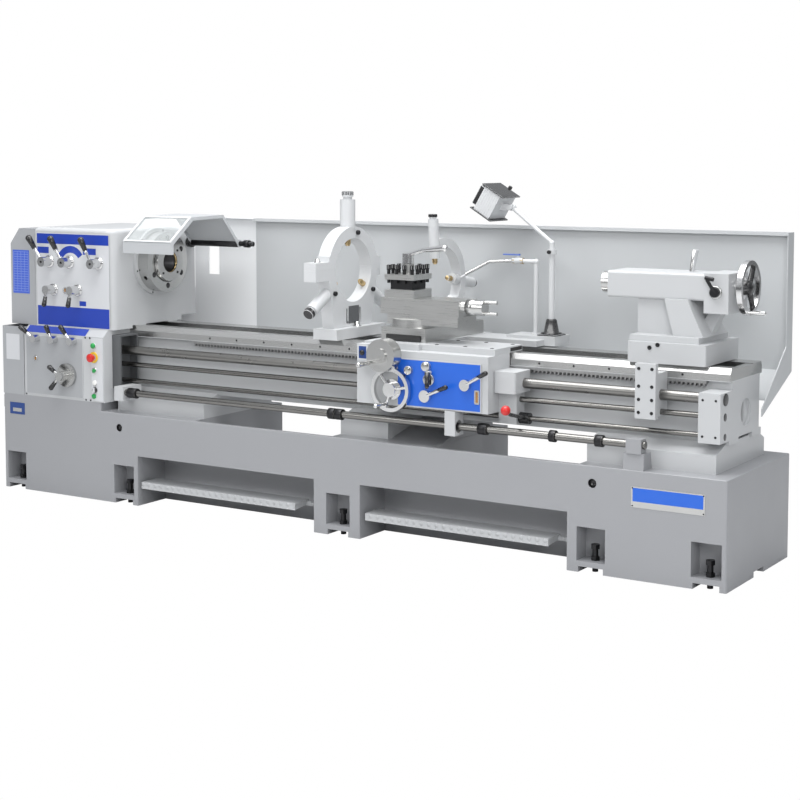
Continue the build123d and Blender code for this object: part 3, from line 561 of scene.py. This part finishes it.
plate("cover_chart", (CHART_LEFT, 38.9, CHART_BOTTOM), (CHART_RIGHT, 39.9, CHART_TOP), chart_paint, "machine")
for row in range(CHART_ROWS):
    bottom = CHART_LINES_BOTTOM + row * ROW_PITCH
    chart_line(f"cover_chart_row_{row}", CHART_LEFT + CHART_MARGIN, CHART_RIGHT - CHART_MARGIN,
               bottom, bottom + CHART_LINE)
for column in range(CHART_COLUMNS):
    left = CHART_LEFT + CHART_MARGIN + column * COLUMN_PITCH
    chart_line(f"cover_chart_column_{column}", left, left + CHART_LINE, CHART_LINES_BOTTOM, CHART_TOP - 9)


# Lever grips

HEAD_ARM_Y = -10.3
SPEED_ROW_Z = 1151
# Each lever's hub, then the run from its hub to its tip
SPEED_LEVERS = (
    ("speed_lever_left", 291, -76, 115),
    ("speed_lever_middle", 425, -64, 115),
    ("speed_lever_right", 615, -54, 114),
)
SMALL_LEVERS = (
    ("direction_lever", 317, 1013),
    ("pitch_lever", 477, 1015),
)
GEAR_ARM_Y = -30.3
GEAR_ROW_Z = 770
GEAR_LEVERS = (
    ("gearbox_lever_left", 243, -77, 52),
    ("gearbox_lever_middle", 364, -25, 62),
    ("gearbox_lever_right", 490, -54, 67),
)
DIAL_X = 445
DIAL_Y = -62
DIAL_Z = 600
DIAL_ARMS = ((-65, 40), (-57, -61))


def hub_ring(body, x, z, bore, height):
    """Bright ring on the panel, round a lever's hub."""
    profile = [(0, bore), (0, bore + 7), (3, bore + 7), (height, bore + 2), (height, bore - 1)]
    turned(f"{body}_ring", (x, 38.8, z), FRONT, profile, chrome, "machine")


for body, x, run, rise in SPEED_LEVERS:
    start = (x + run * 0.55, HEAD_ARM_Y - 6.6, SPEED_ROW_Z + rise * 0.55)
    end = (x + run, HEAD_ARM_Y - 12, SPEED_ROW_Z + rise)
    grip(f"{body}_grip", start, end, 11, 16.2, body)
    screws(f"{body}_screw", [(x, HEAD_ARM_Y - 10, SPEED_ROW_Z)], FRONT, 6, 1.5, body)
    hub_ring(body, x, SPEED_ROW_Z, bore=25, height=6)
for body, x, z in SMALL_LEVERS:
    start = (x - 3.6, HEAD_ARM_Y - 4.5, z - 32)
    end = (x - 8, HEAD_ARM_Y - 10, z - 72)
    grip(f"{body}_grip", start, end, 9.5, 12, body)
    hub_ring(body, x, z, bore=23, height=5)
for body, x, run, rise in GEAR_LEVERS:
    start = (x + run * 0.5, GEAR_ARM_Y - 4, GEAR_ROW_Z + rise * 0.5)
    end = (x + run, GEAR_ARM_Y - 8, GEAR_ROW_Z + rise)
    grip(f"{body}_grip", start, end, 9.5, 13, body)
for index, (run, rise) in enumerate(DIAL_ARMS):
    start = (DIAL_X + run * 0.5, DIAL_Y, DIAL_Z + rise * 0.5)
    end = (DIAL_X + run, DIAL_Y, DIAL_Z + rise)
    grip(f"dial_grip_{index}", start, end, 9, 12.6, "gearbox_dial")


# Feed gearbox, its plates and the switch panel

GEAR_FACE_Y = -4
BUTTON_CAP = [(-4, 12.2), (2, 12.2), (3, 10.5), (3, 0)]
STOP_DISC = [(-2, 20), (-2, 27.4), (0.4, 27.4), (0.4, 15.5)]
STOP_HEAD = [(0, 16), (0, 20.4), (6, 20.4), (10, 16), (11.5, 8), (12, 0)]
BEZEL = [(-2, 15.3), (0.3, 15.3), (0.3, 10.6)]
LENS = [(-6, 13.3), (0, 13.3), (3, 10), (5, 5), (5.6, 0)]
SELECTOR_CAP = [(-6, 14.3), (0.3, 14.3), (0.3, 0)]
# Name, place, profile, finish and body
SWITCHES = (
    ("stop_disc", (619, -8, 698), STOP_DISC, yellow_plastic, "machine"),
    ("start_bezel", (624, -9, 634), BEZEL, chrome, "machine"),
    ("lamp_lens", (620, -16, 755), LENS, green_plastic, "machine"),
    ("white_cap", (625, -10, 575), BUTTON_CAP, white_plastic, "machine"),
    ("low_cap", (619, -10, 509), BUTTON_CAP, green_plastic, "machine"),
    ("selector_cap", (625, -12, 540), SELECTOR_CAP, black_plastic, "machine"),
    ("stop_mushroom", (619, -26, 698), STOP_HEAD, red_plastic, "e_stop"),
)


def gear_strip():
    """Blue strip that stands a little off the gearbox's sloping top edge."""
    slope = ((0.8, 797.2), (31.2, 827.6))
    lift = 0.7
    mesh_data = bmesh.new()
    verts = []
    for x in (160, 560):
        for y, z in slope:
            verts.append(mesh_data.verts.new(mm(x, y - lift, z + lift)))
    mesh_data.faces.new((verts[0], verts[1], verts[3], verts[2]))
    return finish_piece("gear_strip", mesh_data, band_paint, "machine")


plate("gear_panel", (168, GEAR_FACE_Y - 0.24, 493), (542, GEAR_FACE_Y, 782), gear_paint, "machine")
oil_sight("gear_sight", (232, GEAR_FACE_Y, 669), radius=13, bore=8, height=6, sunk=0, glass_depth=2.5)
gear_strip()
plate("cover_plate_left", (24, -0.9, 652), (117, -0.05, 781), panel_paint, "machine")
plate("base_plate_left", (43, -1.2, 377), (145, -0.05, 436), dark_blue_paint, "machine")
plate("base_plate_left_cell", (64, -1.5, 390), (124, -0.9, 408), machined, "machine")
for name, place, profile, material, body in SWITCHES:
    turned(name, place, FRONT, profile, material, body)


# Spindle nose

BORE_LINING = 52.4


def lining(name, x, radius, length, material):
    """Thin turned lining inside the spindle's bore."""
    profile = [(0, BORE_LINING), (0, radius), (length, radius), (length, BORE_LINING)]
    turned(name, (x, AXIS_Y, AXIS_Z), LEFT, profile, material, "spindle")


def cam_holes():
    """Painted shade: black cups lining the six cam-lock holes in the nose, dark where the holes' insides fall
    in shade.
    """
    hole = [(0, 0), (0, 13.9), (34.5, 13.9), (34.5, 13.2), (1, 13.2), (1, 0)]
    mesh_data = bmesh.new()
    for place in around_axis(745, radius=117.5, count=6, first_angle=30):
        add_turned(mesh_data, place, RIGHT, hole)
    smooth_faces(mesh_data)
    return finish_piece("cam_holes", mesh_data, black_steel, "spindle")


lining("spindle_liner", 792, 50.6, 12, brass)
# Painted shade: a black lining darkens the spindle's bore, where the inside of the bore falls in shade.
lining("bore_wall", 779, 51.8, 700, black_steel)
cam_holes()
turned("nose_groove", (780, AXIS_Y, AXIS_Z), RIGHT, [(0.2, 98.6), (0.4, 98.6), (0.4, 101.5), (0.2, 101.5)],
       black_steel, "spindle")
screws("nose_screws", around_axis(797, radius=76, count=4, first_angle=45), RIGHT, 6, 2, "spindle")
screws("ring_screws", around_axis(716, radius=157, count=6, first_angle=15), RIGHT, 5, 0.2, "machine")


# Base with its two chip bays, open to the back

BAYS = ((1226, 2004), (2514, 3214))
BAY_FRONT = 20
BAY_BACK = 720
BAY_TOP = 460
BAY_FRONT_FLOOR = 425
BAY_BACK_FLOOR = 248
LIFT_HOLES = (771, 3280)
LIFT_HOLE_Z = 367
HOLE_RIM = [(0, 21), (0, 19), (4, 18.8)]
HOLE_INSIDE = [(0, 18.9), (20, 18.8), (20, 0)]


def scene_object(name, mesh_data):
    """Plain object for the cut, which goes again after it."""
    mesh = bpy.data.meshes.new(name)
    mesh_data.to_mesh(mesh)
    mesh_data.free()
    thing = bpy.data.objects.new(name, mesh)
    bpy.context.scene.collection.objects.link(thing)
    return thing


def bay_cutter(x0, x1):
    """Prism under the bed: it falls from the base's front wall to the open back."""
    mesh_data = bmesh.new()
    profile = ((BAY_FRONT, BAY_FRONT_FLOOR), (BAY_BACK, BAY_BACK_FLOOR),
               (BAY_BACK, BAY_TOP), (BAY_FRONT, BAY_TOP))
    ends = [[mesh_data.verts.new(mm(x, y, z)) for y, z in profile] for x in (x0, x1)]
    mesh_data.faces.new(ends[0])
    mesh_data.faces.new(tuple(reversed(ends[1])))
    for index in range(4):
        following = (index + 1) % 4
        mesh_data.faces.new((ends[0][index], ends[1][index], ends[1][following], ends[0][following]))
    bmesh.ops.recalc_face_normals(mesh_data, faces=mesh_data.faces[:])
    return scene_object("bay_cutter", mesh_data)


def base_casting():
    """The base with its bays cut out of a copy of the node's mesh."""
    source = nodes["base"]
    mesh_data = bmesh.new()
    mesh_data.from_mesh(source.data)
    bmesh.ops.transform(mesh_data, matrix=source.matrix_world, verts=mesh_data.verts)
    bmesh.ops.remove_doubles(mesh_data, verts=mesh_data.verts, dist=0.000002)
    blank = scene_object("base_blank", mesh_data)
    cutters = [bay_cutter(*bay) for bay in BAYS]
    for cutter in cutters:
        modifier = blank.modifiers.new("bay", "BOOLEAN")
        modifier.operation = "DIFFERENCE"
        modifier.solver = "EXACT"
        modifier.object = cutter
    evaluated = blank.evaluated_get(bpy.context.evaluated_depsgraph_get())
    cut = bmesh.new()
    cut.from_mesh(evaluated.to_mesh())
    evaluated.to_mesh_clear()
    smooth_faces(cut, 25)
    for thing in cutters + [blank]:
        bpy.data.objects.remove(thing)
    piece = finish_piece("base_casting", cut, base_paint, "machine")
    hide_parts("base")


base_casting()
for index, x in enumerate(LIFT_HOLES):
    turned(f"lift_hole_{index}", (x, -0.2, LIFT_HOLE_Z), BACK, HOLE_RIM, base_paint, "machine")
    # Painted shade: a black cup darkens the inside of each lift hole, where it falls in shade.
    turned(f"lift_hole_dark_{index}", (x, 4, LIFT_HOLE_Z), BACK, HOLE_INSIDE, black_plastic, "machine")
plate("name_plate", (3450, -1.6, 292), (3760, -0.05, 375), machined, "machine")
plate("name_field", (3457, -2.2, 316), (3753, -1.2, 370), blue_paint, "machine")
screws("name_rivets", [(x, -2, z) for x in (3456, 3754) for z in (298, 369)], FRONT, 3, 0.8, "machine")


# Chuck guard and splash guard

GUARD_ROD_Y = 619
GUARD_ROD_Z = 1233
# Pieces on the guard's rod: start, profile and finish
GUARD_FITTINGS = (
    ("guard_collar", 700.6, [(0, 12), (0, 27), (26, 27), (28, 25), (28, 12)], black_plastic),
    ("guard_sleeve", 729, [(0, 12), (0, 18.6), (296, 18.6), (296, 12)], black_steel),
    ("guard_rod", 1030, [(0, 12.4), (83, 12.4), (84.5, 11), (84.5, 0)], black_steel),
    ("guard_nut", 1060, [(0, 12), (0, 18.5), (30, 18.5), (30, 12)], black_steel),
)


def rectangle(left, right, low, high):
    return ((left, low), (right, low), (right, high), (left, high))


def guard_frame():
    """Pale frame round the window, lying on the hood's front slope."""
    mesh_data = bmesh.new()
    slope_run = 157
    slope_rise = 118
    slope_length = 196.4
    along = Vector((0, slope_run / slope_length, slope_rise / slope_length))
    out = Vector((0, -0.601, 0.799))
    corner = Vector((0, 94, 1258))

    def point(x, distance, lift):
        place = corner + along * distance + out * lift
        return mesh_data.verts.new(mm(x, place.y, place.z))

    outer = rectangle(727, 1028, 0.5, 195)
    inner = rectangle(741, 1014, 10, 184)
    for index in range(4):
        following = (index + 1) % 4
        sides = []
        for lift in (3.2, 4.6):
            sides.append((point(*outer[index], lift), point(*outer[following], lift),
                          point(*inner[following], lift), point(*inner[index], lift)))
        low, high = sides
        mesh_data.faces.new(high)
        mesh_data.faces.new(tuple(reversed(low)))
        for step in range(4):
            after = (step + 1) % 4
            mesh_data.faces.new((low[step], low[after], high[after], high[step]))
    return finish_piece("guard_frame", mesh_data, pale_paint, "guard")


guard_frame()
for name, x, profile, material in GUARD_FITTINGS:
    turned(name, (x, GUARD_ROD_Y, GUARD_ROD_Z), RIGHT, profile, material, "guard")
plate("splash_seam", (SPLASH_SEAM_X - 4, 739.2, 786), (SPLASH_SEAM_X + 4, 740.95, 1350),
      splash_paint, "machine", bevel=0.5)
plate("splash_tail", (430, 741, 797), (561, 744.9, 990), splash_paint, "machine", bevel=0.5)


# Rods, collars and brackets

COLLARS = ((818, 870), (1988, 2020), (2026, 2060), (2748, 2790), (3080, 3106), (3285, 3318))
BRACKET_END = 3785
# Height and radius of the blind caps at the rods' ends
BRACKET_CAPS = ((659, 16), (581, 14))

for index, (x0, x1) in enumerate(COLLARS):
    end = x1 - x0 + 0.6
    profile = [(0, 16), (0, 23), (1.5, 24.4), (end - 1.5, 24.4), (end, 23), (end, 16)]
    turned(f"stop_collar_{index}", (x0 - 0.3, STOP_Y, STOP_Z), RIGHT, profile, black_steel, "stop_rod")
support_screws = [(x, 60, z) for x in (3450, 3506) for z in (660, 712, 765, 835)]
screws("support_screws", support_screws, FRONT, 7, 1.5, "rod_support")
bracket_screws = [(x, 78, z) for x in (3712, 3766) for z in (585, 728)]
screws("bracket_screws", bracket_screws, FRONT, 5, 1.2, "machine")
turned("bracket_plug", (BRACKET_END, RODS_Y, 728), RIGHT, [(0, 24.4), (3.2, 24.4), (3.8, 22), (3.8, 0)],
       black_plastic, "machine")
for index, (z, radius) in enumerate(BRACKET_CAPS):
    profile = [(-2, radius), (0.6, radius), (1, radius - 2), (1, 0)]
    turned(f"bracket_cap_{index}", (BRACKET_END, RODS_Y, z), RIGHT, profile, black_plastic, "machine")
rail_screws = [(1180 + 160 * index, 190, 806) for index in range(16)]
screws("rail_screws", rail_screws, FRONT, 5, 0.25, "machine")
gearbox_screws = [(x, 0, z) for x in (160, 560, 590) for z in (486, 790)]
screws("gearbox_screws", gearbox_screws, FRONT, 5, 1.2, "machine")


# Carriage

# Turned bosses on the apron: place, radius and front
APRON_BOSSES = (
    ("knob_a", 2422, 764, 18, -22),
    ("knob_b", 2509, 786, 20, -22),
    ("disc", 2521, 730, 26, -16),
)
# Grips of the apron's levers: pivot, then the run to the tip
APRON_LEVERS = (
    ("half_nut_grip", 2703, 721, 54, 30, 109, 60, "half_nut_lever"),
    ("feed_lever_grip", 2508, 660, 56, 24, 113, 48, "feed_lever"),
)
SWITCH_KNOB = [(0, 11), (7, 11), (8, 9), (8, 0)]
SADDLE_TOP = 868


def ball(name, centre, radius, material, body):
    x, y, z = centre
    profile = [(0, 0)]
    for degrees in range(15, 180, 15):
        angle = radians(degrees)
        profile.append((radius - radius * cos(angle), radius * sin(angle)))
    profile.append((2 * radius, 0))
    turned(name, (x, y + radius, z), FRONT, profile, material, body)


plate("apron_panel", (2364, -6.26, 612), (2768, -6.02, 808), blue_paint, "carriage")
plate("apron_sight", (2741, -9.5, 643), (2766, -6.1, 702), machined, "carriage", bevel=3)
plate("apron_sight_glass", (2748, -10.2, 650), (2759, -9, 695), oil_glass, "carriage", bevel=0.8)
for name, x, z, radius, front in APRON_BOSSES:
    profile = [(-14, radius + 0.4), (-1, radius + 0.4), (0.4, radius - 1.5), (0.4, 0)]
    turned(f"apron_{name}", (x, front, z), FRONT, profile, machined, "carriage")
grip("apron_grip", (2526, -30, 765), (2526, -34, 704), 11.6, 9.6, "carriage")
for name, x, z, near_run, near_rise, run, rise, body in APRON_LEVERS:
    grip(name, (x + near_run, -29.3, z + near_rise), (x + run, -40.3, z + rise), 8.6, 10.6, body)
ball("control_ball", (2929, -80, 642), 20.5, red_plastic, "control_lever")
plate("switch_face", (2182, -40.3, 798), (2229, -39.8, 861), pale_paint, "carriage")
plate("switch_rim", (2186, -40.7, 803), (2225, -40.1, 856), dark_blue_paint, "carriage")
turned("switch_knob", (2205, -40.5, 828), FRONT, SWITCH_KNOB, black_plastic, "carriage")
plate("wiper", (2240, 90.5, 871.5), (2418, 94.9, 900), rubber, "cross_slide")
for index, x in enumerate((2160, 2796)):
    plate(f"saddle_wiper_{index}", (x - 5, 191, 843), (x + 5, 299, 866), rubber, "carriage")
saddle_bolts = [(x, y, SADDLE_TOP) for x in (2500, 2640, 2770) for y in (90, 270)]
screws("saddle_bolts", saddle_bolts, UP, 9, 1.5, "carriage")


# Toolpost and the top slide's dial

POST_X = 2283
POST_Y = 205
CORE_HALF = 55.5
# Clamp screws: distance from the post's middle, and their spread along the edge
SCREW_REACH = 63
LONG_EDGE = (-60, -20, 20, 60)
SHORT_EDGE = (-25, 25)


def toolpost_core():
    low = (POST_X - CORE_HALF, POST_Y - CORE_HALF, 1090.4)
    high = (POST_X + CORE_HALF, POST_Y + CORE_HALF, 1132.6)
    return finish_piece("toolpost_core", new_block(low, high), black_steel, "toolpost")


def toolpost_screws():
    """Square-headed clamp screws standing through the toolpost's top plate."""
    shank = [(0, 0), (0, 7.6), (62, 7.6), (62, 7.9)]
    head = [(0, 9.5), (22, 9.5), (23.5, 8), (23.5, 0)]
    places = []
    for step in LONG_EDGE:
        places += [(POST_X + step, POST_Y - SCREW_REACH), (POST_X + step, POST_Y + SCREW_REACH)]
    for step in SHORT_EDGE:
        places += [(POST_X - SCREW_REACH, POST_Y + step), (POST_X + SCREW_REACH, POST_Y + step)]
    mesh_data = bmesh.new()
    for x, y in places:
        add_turned(mesh_data, (x, y, 1118), UP, shank, 12)
        add_turned(mesh_data, (x, y, 1174), UP, head, 4)
    return finish_piece("toolpost_screws", mesh_data, black_steel, "toolpost")


toolpost_core()
toolpost_screws()
turned("dial_ring", (2619, 150, 1030), RIGHT, [(0, 30), (0, 33.5), (40, 33.5), (41, 30), (44, 30)],
       machined, "compound_crank")


# Lamp

LAMP_X = 2806
LAMP_Y = 560
LAMP_FOOT = 47
HEAD_X = 2519
HEAD_Z = 1465
BEAM = (-0.857, 0, 0.515)


def tilted_plate(name, centre, size, material, bevel=1.0):
    """Plate in the lamp head's own slanted frame: across, along the width, along the beam."""
    beam = Vector(BEAM).normalized()
    across = Vector(BACK)
    width = beam.cross(across)
    basis = Matrix((across, width, beam)).transposed().to_4x4()
    scale = Matrix.Diagonal((*(Vector(size) / 1000), 1))
    shift = Matrix.Translation(Vector(centre) / 1000)
    place = Matrix.Translation(mm(HEAD_X, LAMP_Y, HEAD_Z)) @ basis @ shift @ scale
    mesh_data = bmesh.new()
    bmesh.ops.create_cube(mesh_data, size=1)
    bmesh.ops.transform(mesh_data, matrix=place, verts=mesh_data.verts)
    ease_edges(mesh_data, bevel / 1000)
    return finish_piece(name, mesh_data, material, "lamp_head")


turned("lamp_boot", (LAMP_X, LAMP_Y, 889), UP, [(0, 46), (6, 46), (8, 34), (60, 24), (66, 20), (66, 14)],
       black_plastic, "carriage")
foot_low = (LAMP_X - LAMP_FOOT, LAMP_Y - LAMP_FOOT, 881.2)
foot_high = (LAMP_X + LAMP_FOOT, LAMP_Y + LAMP_FOOT, 889.6)
plate("lamp_foot", foot_low, foot_high, black_plastic, "carriage", bevel=2)
knob("lamp_clamp", (LAMP_X, 541, 1251), FRONT, 9, 16, "lamp_arm")
for side in (-1, 1):
    tilted_plate(f"lamp_end_{side + 1}", (0, 61 * side, 0), (165, 5.6, 119), black_plastic)
tilted_plate("lamp_face", (0, 0, 57), (121, 93, 31), black_plastic, 3)
for index in range(7):
    tilted_plate(f"lamp_rib_{index}", (0, 0, -36 + 12 * index), (152, 117, 3), pale_paint, 0.8)
knob("lamp_knob", (2590, LAMP_Y, 1520), (0.5, 0, 0.86), 9, 18, "lamp_head")


# Coolant valve and hose

VALVE_BODY = [(0, 11), (0, 15), (12, 15), (14, 12.5), (38, 12.5), (40, 15), (53, 15), (53, 10)]
HOSE_POINTS = ((2615, 560, 1206), (2514, 520, 1200), (2430, 450, 1143))
HOSE_PITCH = 6


def hose_rings():
    """Segments of the flexible steel hose."""
    mesh_data = bmesh.new()
    for start, end in zip(HOSE_POINTS, HOSE_POINTS[1:]):
        direction = between(start, end)
        length = Vector(direction).length
        profile = []
        count = int(length / HOSE_PITCH)
        for index in range(count):
            root = index * length / count
            profile += [(root, 7.1), (root + 1.5, 8.0), (root + 4.0, 8.0), (root + 5.5, 7.1)]
        add_turned(mesh_data, start, direction, profile, 14)
    smooth_faces(mesh_data, 60)
    return finish_piece("coolant_hose", mesh_data, machined, "carriage")


turned("valve_body", (2612, 560, 1206), RIGHT, VALVE_BODY, brass, "carriage", segments=6)
plate("valve_lever", (2564, 551, 1229.5), (2646, 569, 1235.6), blue_paint, "carriage", bevel=1.5)
hose_rings()


# Follow rest and steady rest

FOLLOW_X = 2325
STEADY_X = 1857.5
STEADY_BACK = 1890
FINGER_TIP = [(-30, 12.4), (0, 12.4), (8, 8), (9, 0)]
CLAMP_NUT = [(0, 15), (4, 15), (4, 10), (16, 10), (17, 8), (17, 0)]
BED_NUT = [(0, 20), (4, 20), (4, 13), (22, 13), (23, 11), (23, 0)]

knob("follow_knob_top", (FOLLOW_X, 343, 1396), UP, 20, 18, "carriage")
knob("follow_knob_rear", (FOLLOW_X, 688, 1088), (0, 0.98, -0.15), 20, 20, "carriage")
turned("follow_tip_top", (FOLLOW_X, 362, 1199), (0, 0.1, -1), FINGER_TIP, brass, "carriage")
turned("follow_tip_rear", (FOLLOW_X, 470, 1123), (0, -1, 0.15), FINGER_TIP, brass, "carriage")
knob("steady_knob_top", (STEADY_X, AXIS_Y, 1484), UP, 27, 25, "steady_arch")
for degrees in (210, 330):
    out_y = cos(radians(degrees))
    out_z = sin(radians(degrees))
    start = (STEADY_X, AXIS_Y + 335 * out_y, AXIS_Z + 335 * out_z)
    knob(f"steady_knob_{degrees}", start, (0, out_y, out_z), 27, 31, "steady")
screws("steady_studs", [(STEADY_BACK, y, 1050) for y in (205, 515)], RIGHT, 11, 12, "steady")
screws("arch_stud", [(STEADY_BACK, 390, 1320)], RIGHT, 11, 12, "steady_arch")
# Painted shade: dark plates on both sides of the steady's base stand for the shade in its openings.
for x in (1824.4, STEADY_BACK - 0.4):
    plate(f"steady_window_{x:.0f}", (x, 318, 905), (x + 1, 402, 985), dark_paint, "steady")
turned("steady_clamp", (STEADY_X, 118, 1195), UP, CLAMP_NUT, machined, "steady_arch", segments=6)
turned("steady_bolt", (1905, 365, 890), UP, BED_NUT, machined, "steady", segments=6)


# Tailstock

NOSE_RING = [(0, 46), (0, 52), (3, 52), (4, 50), (4, 46)]
WHEEL_HUB = [(-34, 30), (-6, 30), (0.5, 24.5), (0.5, 12), (3, 11), (3, 0)]
LOCK_BOSS = [(0, 26), (8, 26), (10, 23), (10, 19.4)]
CLAMP_HANDLE = [(0, 9.6), (88, 12.4), (90, 0)]


def tail_spokes():
    """Black spokes of the tailstock handwheel, over the bright ones."""
    hub_radius = 24
    mesh_data = bmesh.new()
    for degrees in (60, 180, 300):
        out_y = cos(radians(degrees))
        out_z = sin(radians(degrees))
        start = (3786, AXIS_Y + hub_radius * out_y, AXIS_Z + hub_radius * out_z)
        add_turned(mesh_data, start, (0, out_y, out_z), [(0, 13), (40, 10.6), (69, 10.6)], 16)
    smooth_faces(mesh_data)
    return finish_piece("tail_spokes", mesh_data, black_plastic, "tail_handwheel")


tail_spokes()
turned("tail_hub", (3800, AXIS_Y, AXIS_Z), RIGHT, WHEEL_HUB, black_plastic, "tail_handwheel")
turned("tail_nose_ring", (3218, AXIS_Y, AXIS_Z), LEFT, NOSE_RING, machined, "tailstock")
turned("lock_boss", (3690, 254.9, 1133), FRONT, LOCK_BOSS, machined, "tailstock")
screws("tail_bolts", [(3440, 184, 905), (3475, 184, 918)], FRONT, 9, 4, "tailstock")
turned("clamp_handle", (3535, 380, 1203.5), (16, 0, 97), CLAMP_HANDLE, machined, "tailstock")


# Camera

CAMERA_PLACE = (6126.6, -5908.9, 1678.8)
CAMERA_DOWN = 4.5
CAMERA_TURN = 32.44
FOCAL_LENGTH = 74.31
LENS_SHIFT = -0.1449


def make_camera():
    data = bpy.data.cameras.new("camera")
    data.sensor_width = 36
    data.lens = FOCAL_LENGTH
    data.shift_y = LENS_SHIFT
    data.clip_end = 60
    camera = bpy.data.objects.new("camera", data)
    camera.location = mm(*CAMERA_PLACE)
    camera.rotation_euler = (radians(90 - CAMERA_DOWN), 0, radians(CAMERA_TURN))
    bpy.context.scene.collection.objects.link(camera)
    bpy.context.scene.camera = camera


# Floor and light, in metres

WHITE = (1, 1, 1, 1)
WORLD_LOW = (0.14, 0.145, 0.15, 1)
WORLD_HIGH = (0.85, 0.87, 0.90, 1)
WORLD_HIGH_FROM = 0.75
# Place, target, size and power of each area light
LIGHTS = {
    "top_softbox": ((0.3, -0.6, 4.8), (0, 0, 0.8), 4.0, 275),
    "front_left": ((-2.4, -5.6, 3.0), (-0.4, 0, 0.8), 2.6, 64),
    "front_right": ((4.2, -4.4, 2.8), (0.2, 0, 1.0), 2.0, 95),
}


def make_floor():
    """Floor that takes shadows and light, and that the camera sees as plain white."""
    mesh_data = bmesh.new()
    bmesh.ops.create_grid(mesh_data, x_segments=1, y_segments=1, size=14)
    mesh = bpy.data.meshes.new("floor")
    mesh_data.to_mesh(mesh)
    mesh_data.free()
    floor = bpy.data.objects.new("floor", mesh)
    floor.location.z = -0.0005
    bpy.context.scene.collection.objects.link(floor)
    material = new_material("floor_white", (0.62, 0.62, 0.62), 0.9)
    tree = material.node_tree
    shader = tree.nodes["Principled BSDF"]
    vary_roughness(tree, shader, noise(tree, scale=2), 0.85, 0.95)
    glow = tree.nodes.new("ShaderNodeEmission")
    glow.inputs["Color"].default_value = WHITE
    glow.inputs["Strength"].default_value = 1.0
    ray = tree.nodes.new("ShaderNodeLightPath")
    mix = tree.nodes.new("ShaderNodeMixShader")
    tree.links.new(ray.outputs["Is Camera Ray"], mix.inputs[0])
    tree.links.new(shader.outputs["BSDF"], mix.inputs[1])
    tree.links.new(glow.outputs["Emission"], mix.inputs[2])
    tree.links.new(mix.outputs["Shader"], tree.nodes["Material Output"].inputs["Surface"])
    mesh.materials.append(material)


def make_world():
    """Grey room, brighter above, that the camera sees as plain white."""
    world = bpy.data.worlds.new("studio")
    bpy.context.scene.world = world
    world.use_nodes = True
    tree = world.node_tree
    ambient = tree.nodes["Background"]
    ambient.inputs["Strength"].default_value = 1.0
    split = tree.nodes.new("ShaderNodeSeparateXYZ")
    tree.links.new(tree.nodes.new("ShaderNodeTexCoord").outputs["Generated"], split.inputs["Vector"])
    ramp = tree.nodes.new("ShaderNodeValToRGB")
    low, high = ramp.color_ramp.elements
    low.position = 0.0
    low.color = WORLD_LOW
    high.position = WORLD_HIGH_FROM
    high.color = WORLD_HIGH
    tree.links.new(split.outputs["Z"], ramp.inputs["Fac"])
    tree.links.new(ramp.outputs["Color"], ambient.inputs["Color"])
    white = tree.nodes.new("ShaderNodeBackground")
    white.inputs["Color"].default_value = WHITE
    white.inputs["Strength"].default_value = 1.0
    ray = tree.nodes.new("ShaderNodeLightPath")
    seen = tree.nodes.new("ShaderNodeMath")
    seen.operation = "MAXIMUM"
    tree.links.new(ray.outputs["Is Camera Ray"], seen.inputs[0])
    tree.links.new(ray.outputs["Is Transmission Ray"], seen.inputs[1])
    mix = tree.nodes.new("ShaderNodeMixShader")
    tree.links.new(seen.outputs["Value"], mix.inputs[0])
    tree.links.new(ambient.outputs["Background"], mix.inputs[1])
    tree.links.new(white.outputs["Background"], mix.inputs[2])
    tree.links.new(mix.outputs["Shader"], tree.nodes["World Output"].inputs["Surface"])


def area_light(name, place, target, size, power):
    data = bpy.data.lights.new(name, "AREA")
    data.size = size
    data.energy = power
    light = bpy.data.objects.new(name, data)
    light.location = Vector(place)
    light.rotation_euler = (Vector(target) - Vector(place)).to_track_quat("-Z", "Y").to_euler()
    bpy.context.scene.collection.objects.link(light)


make_camera()
make_floor()
make_world()
for name, (place, target, size, power) in LIGHTS.items():
    area_light(name, place, target, size, power)

scene = bpy.context.scene
scene.view_settings.view_transform = "Standard"
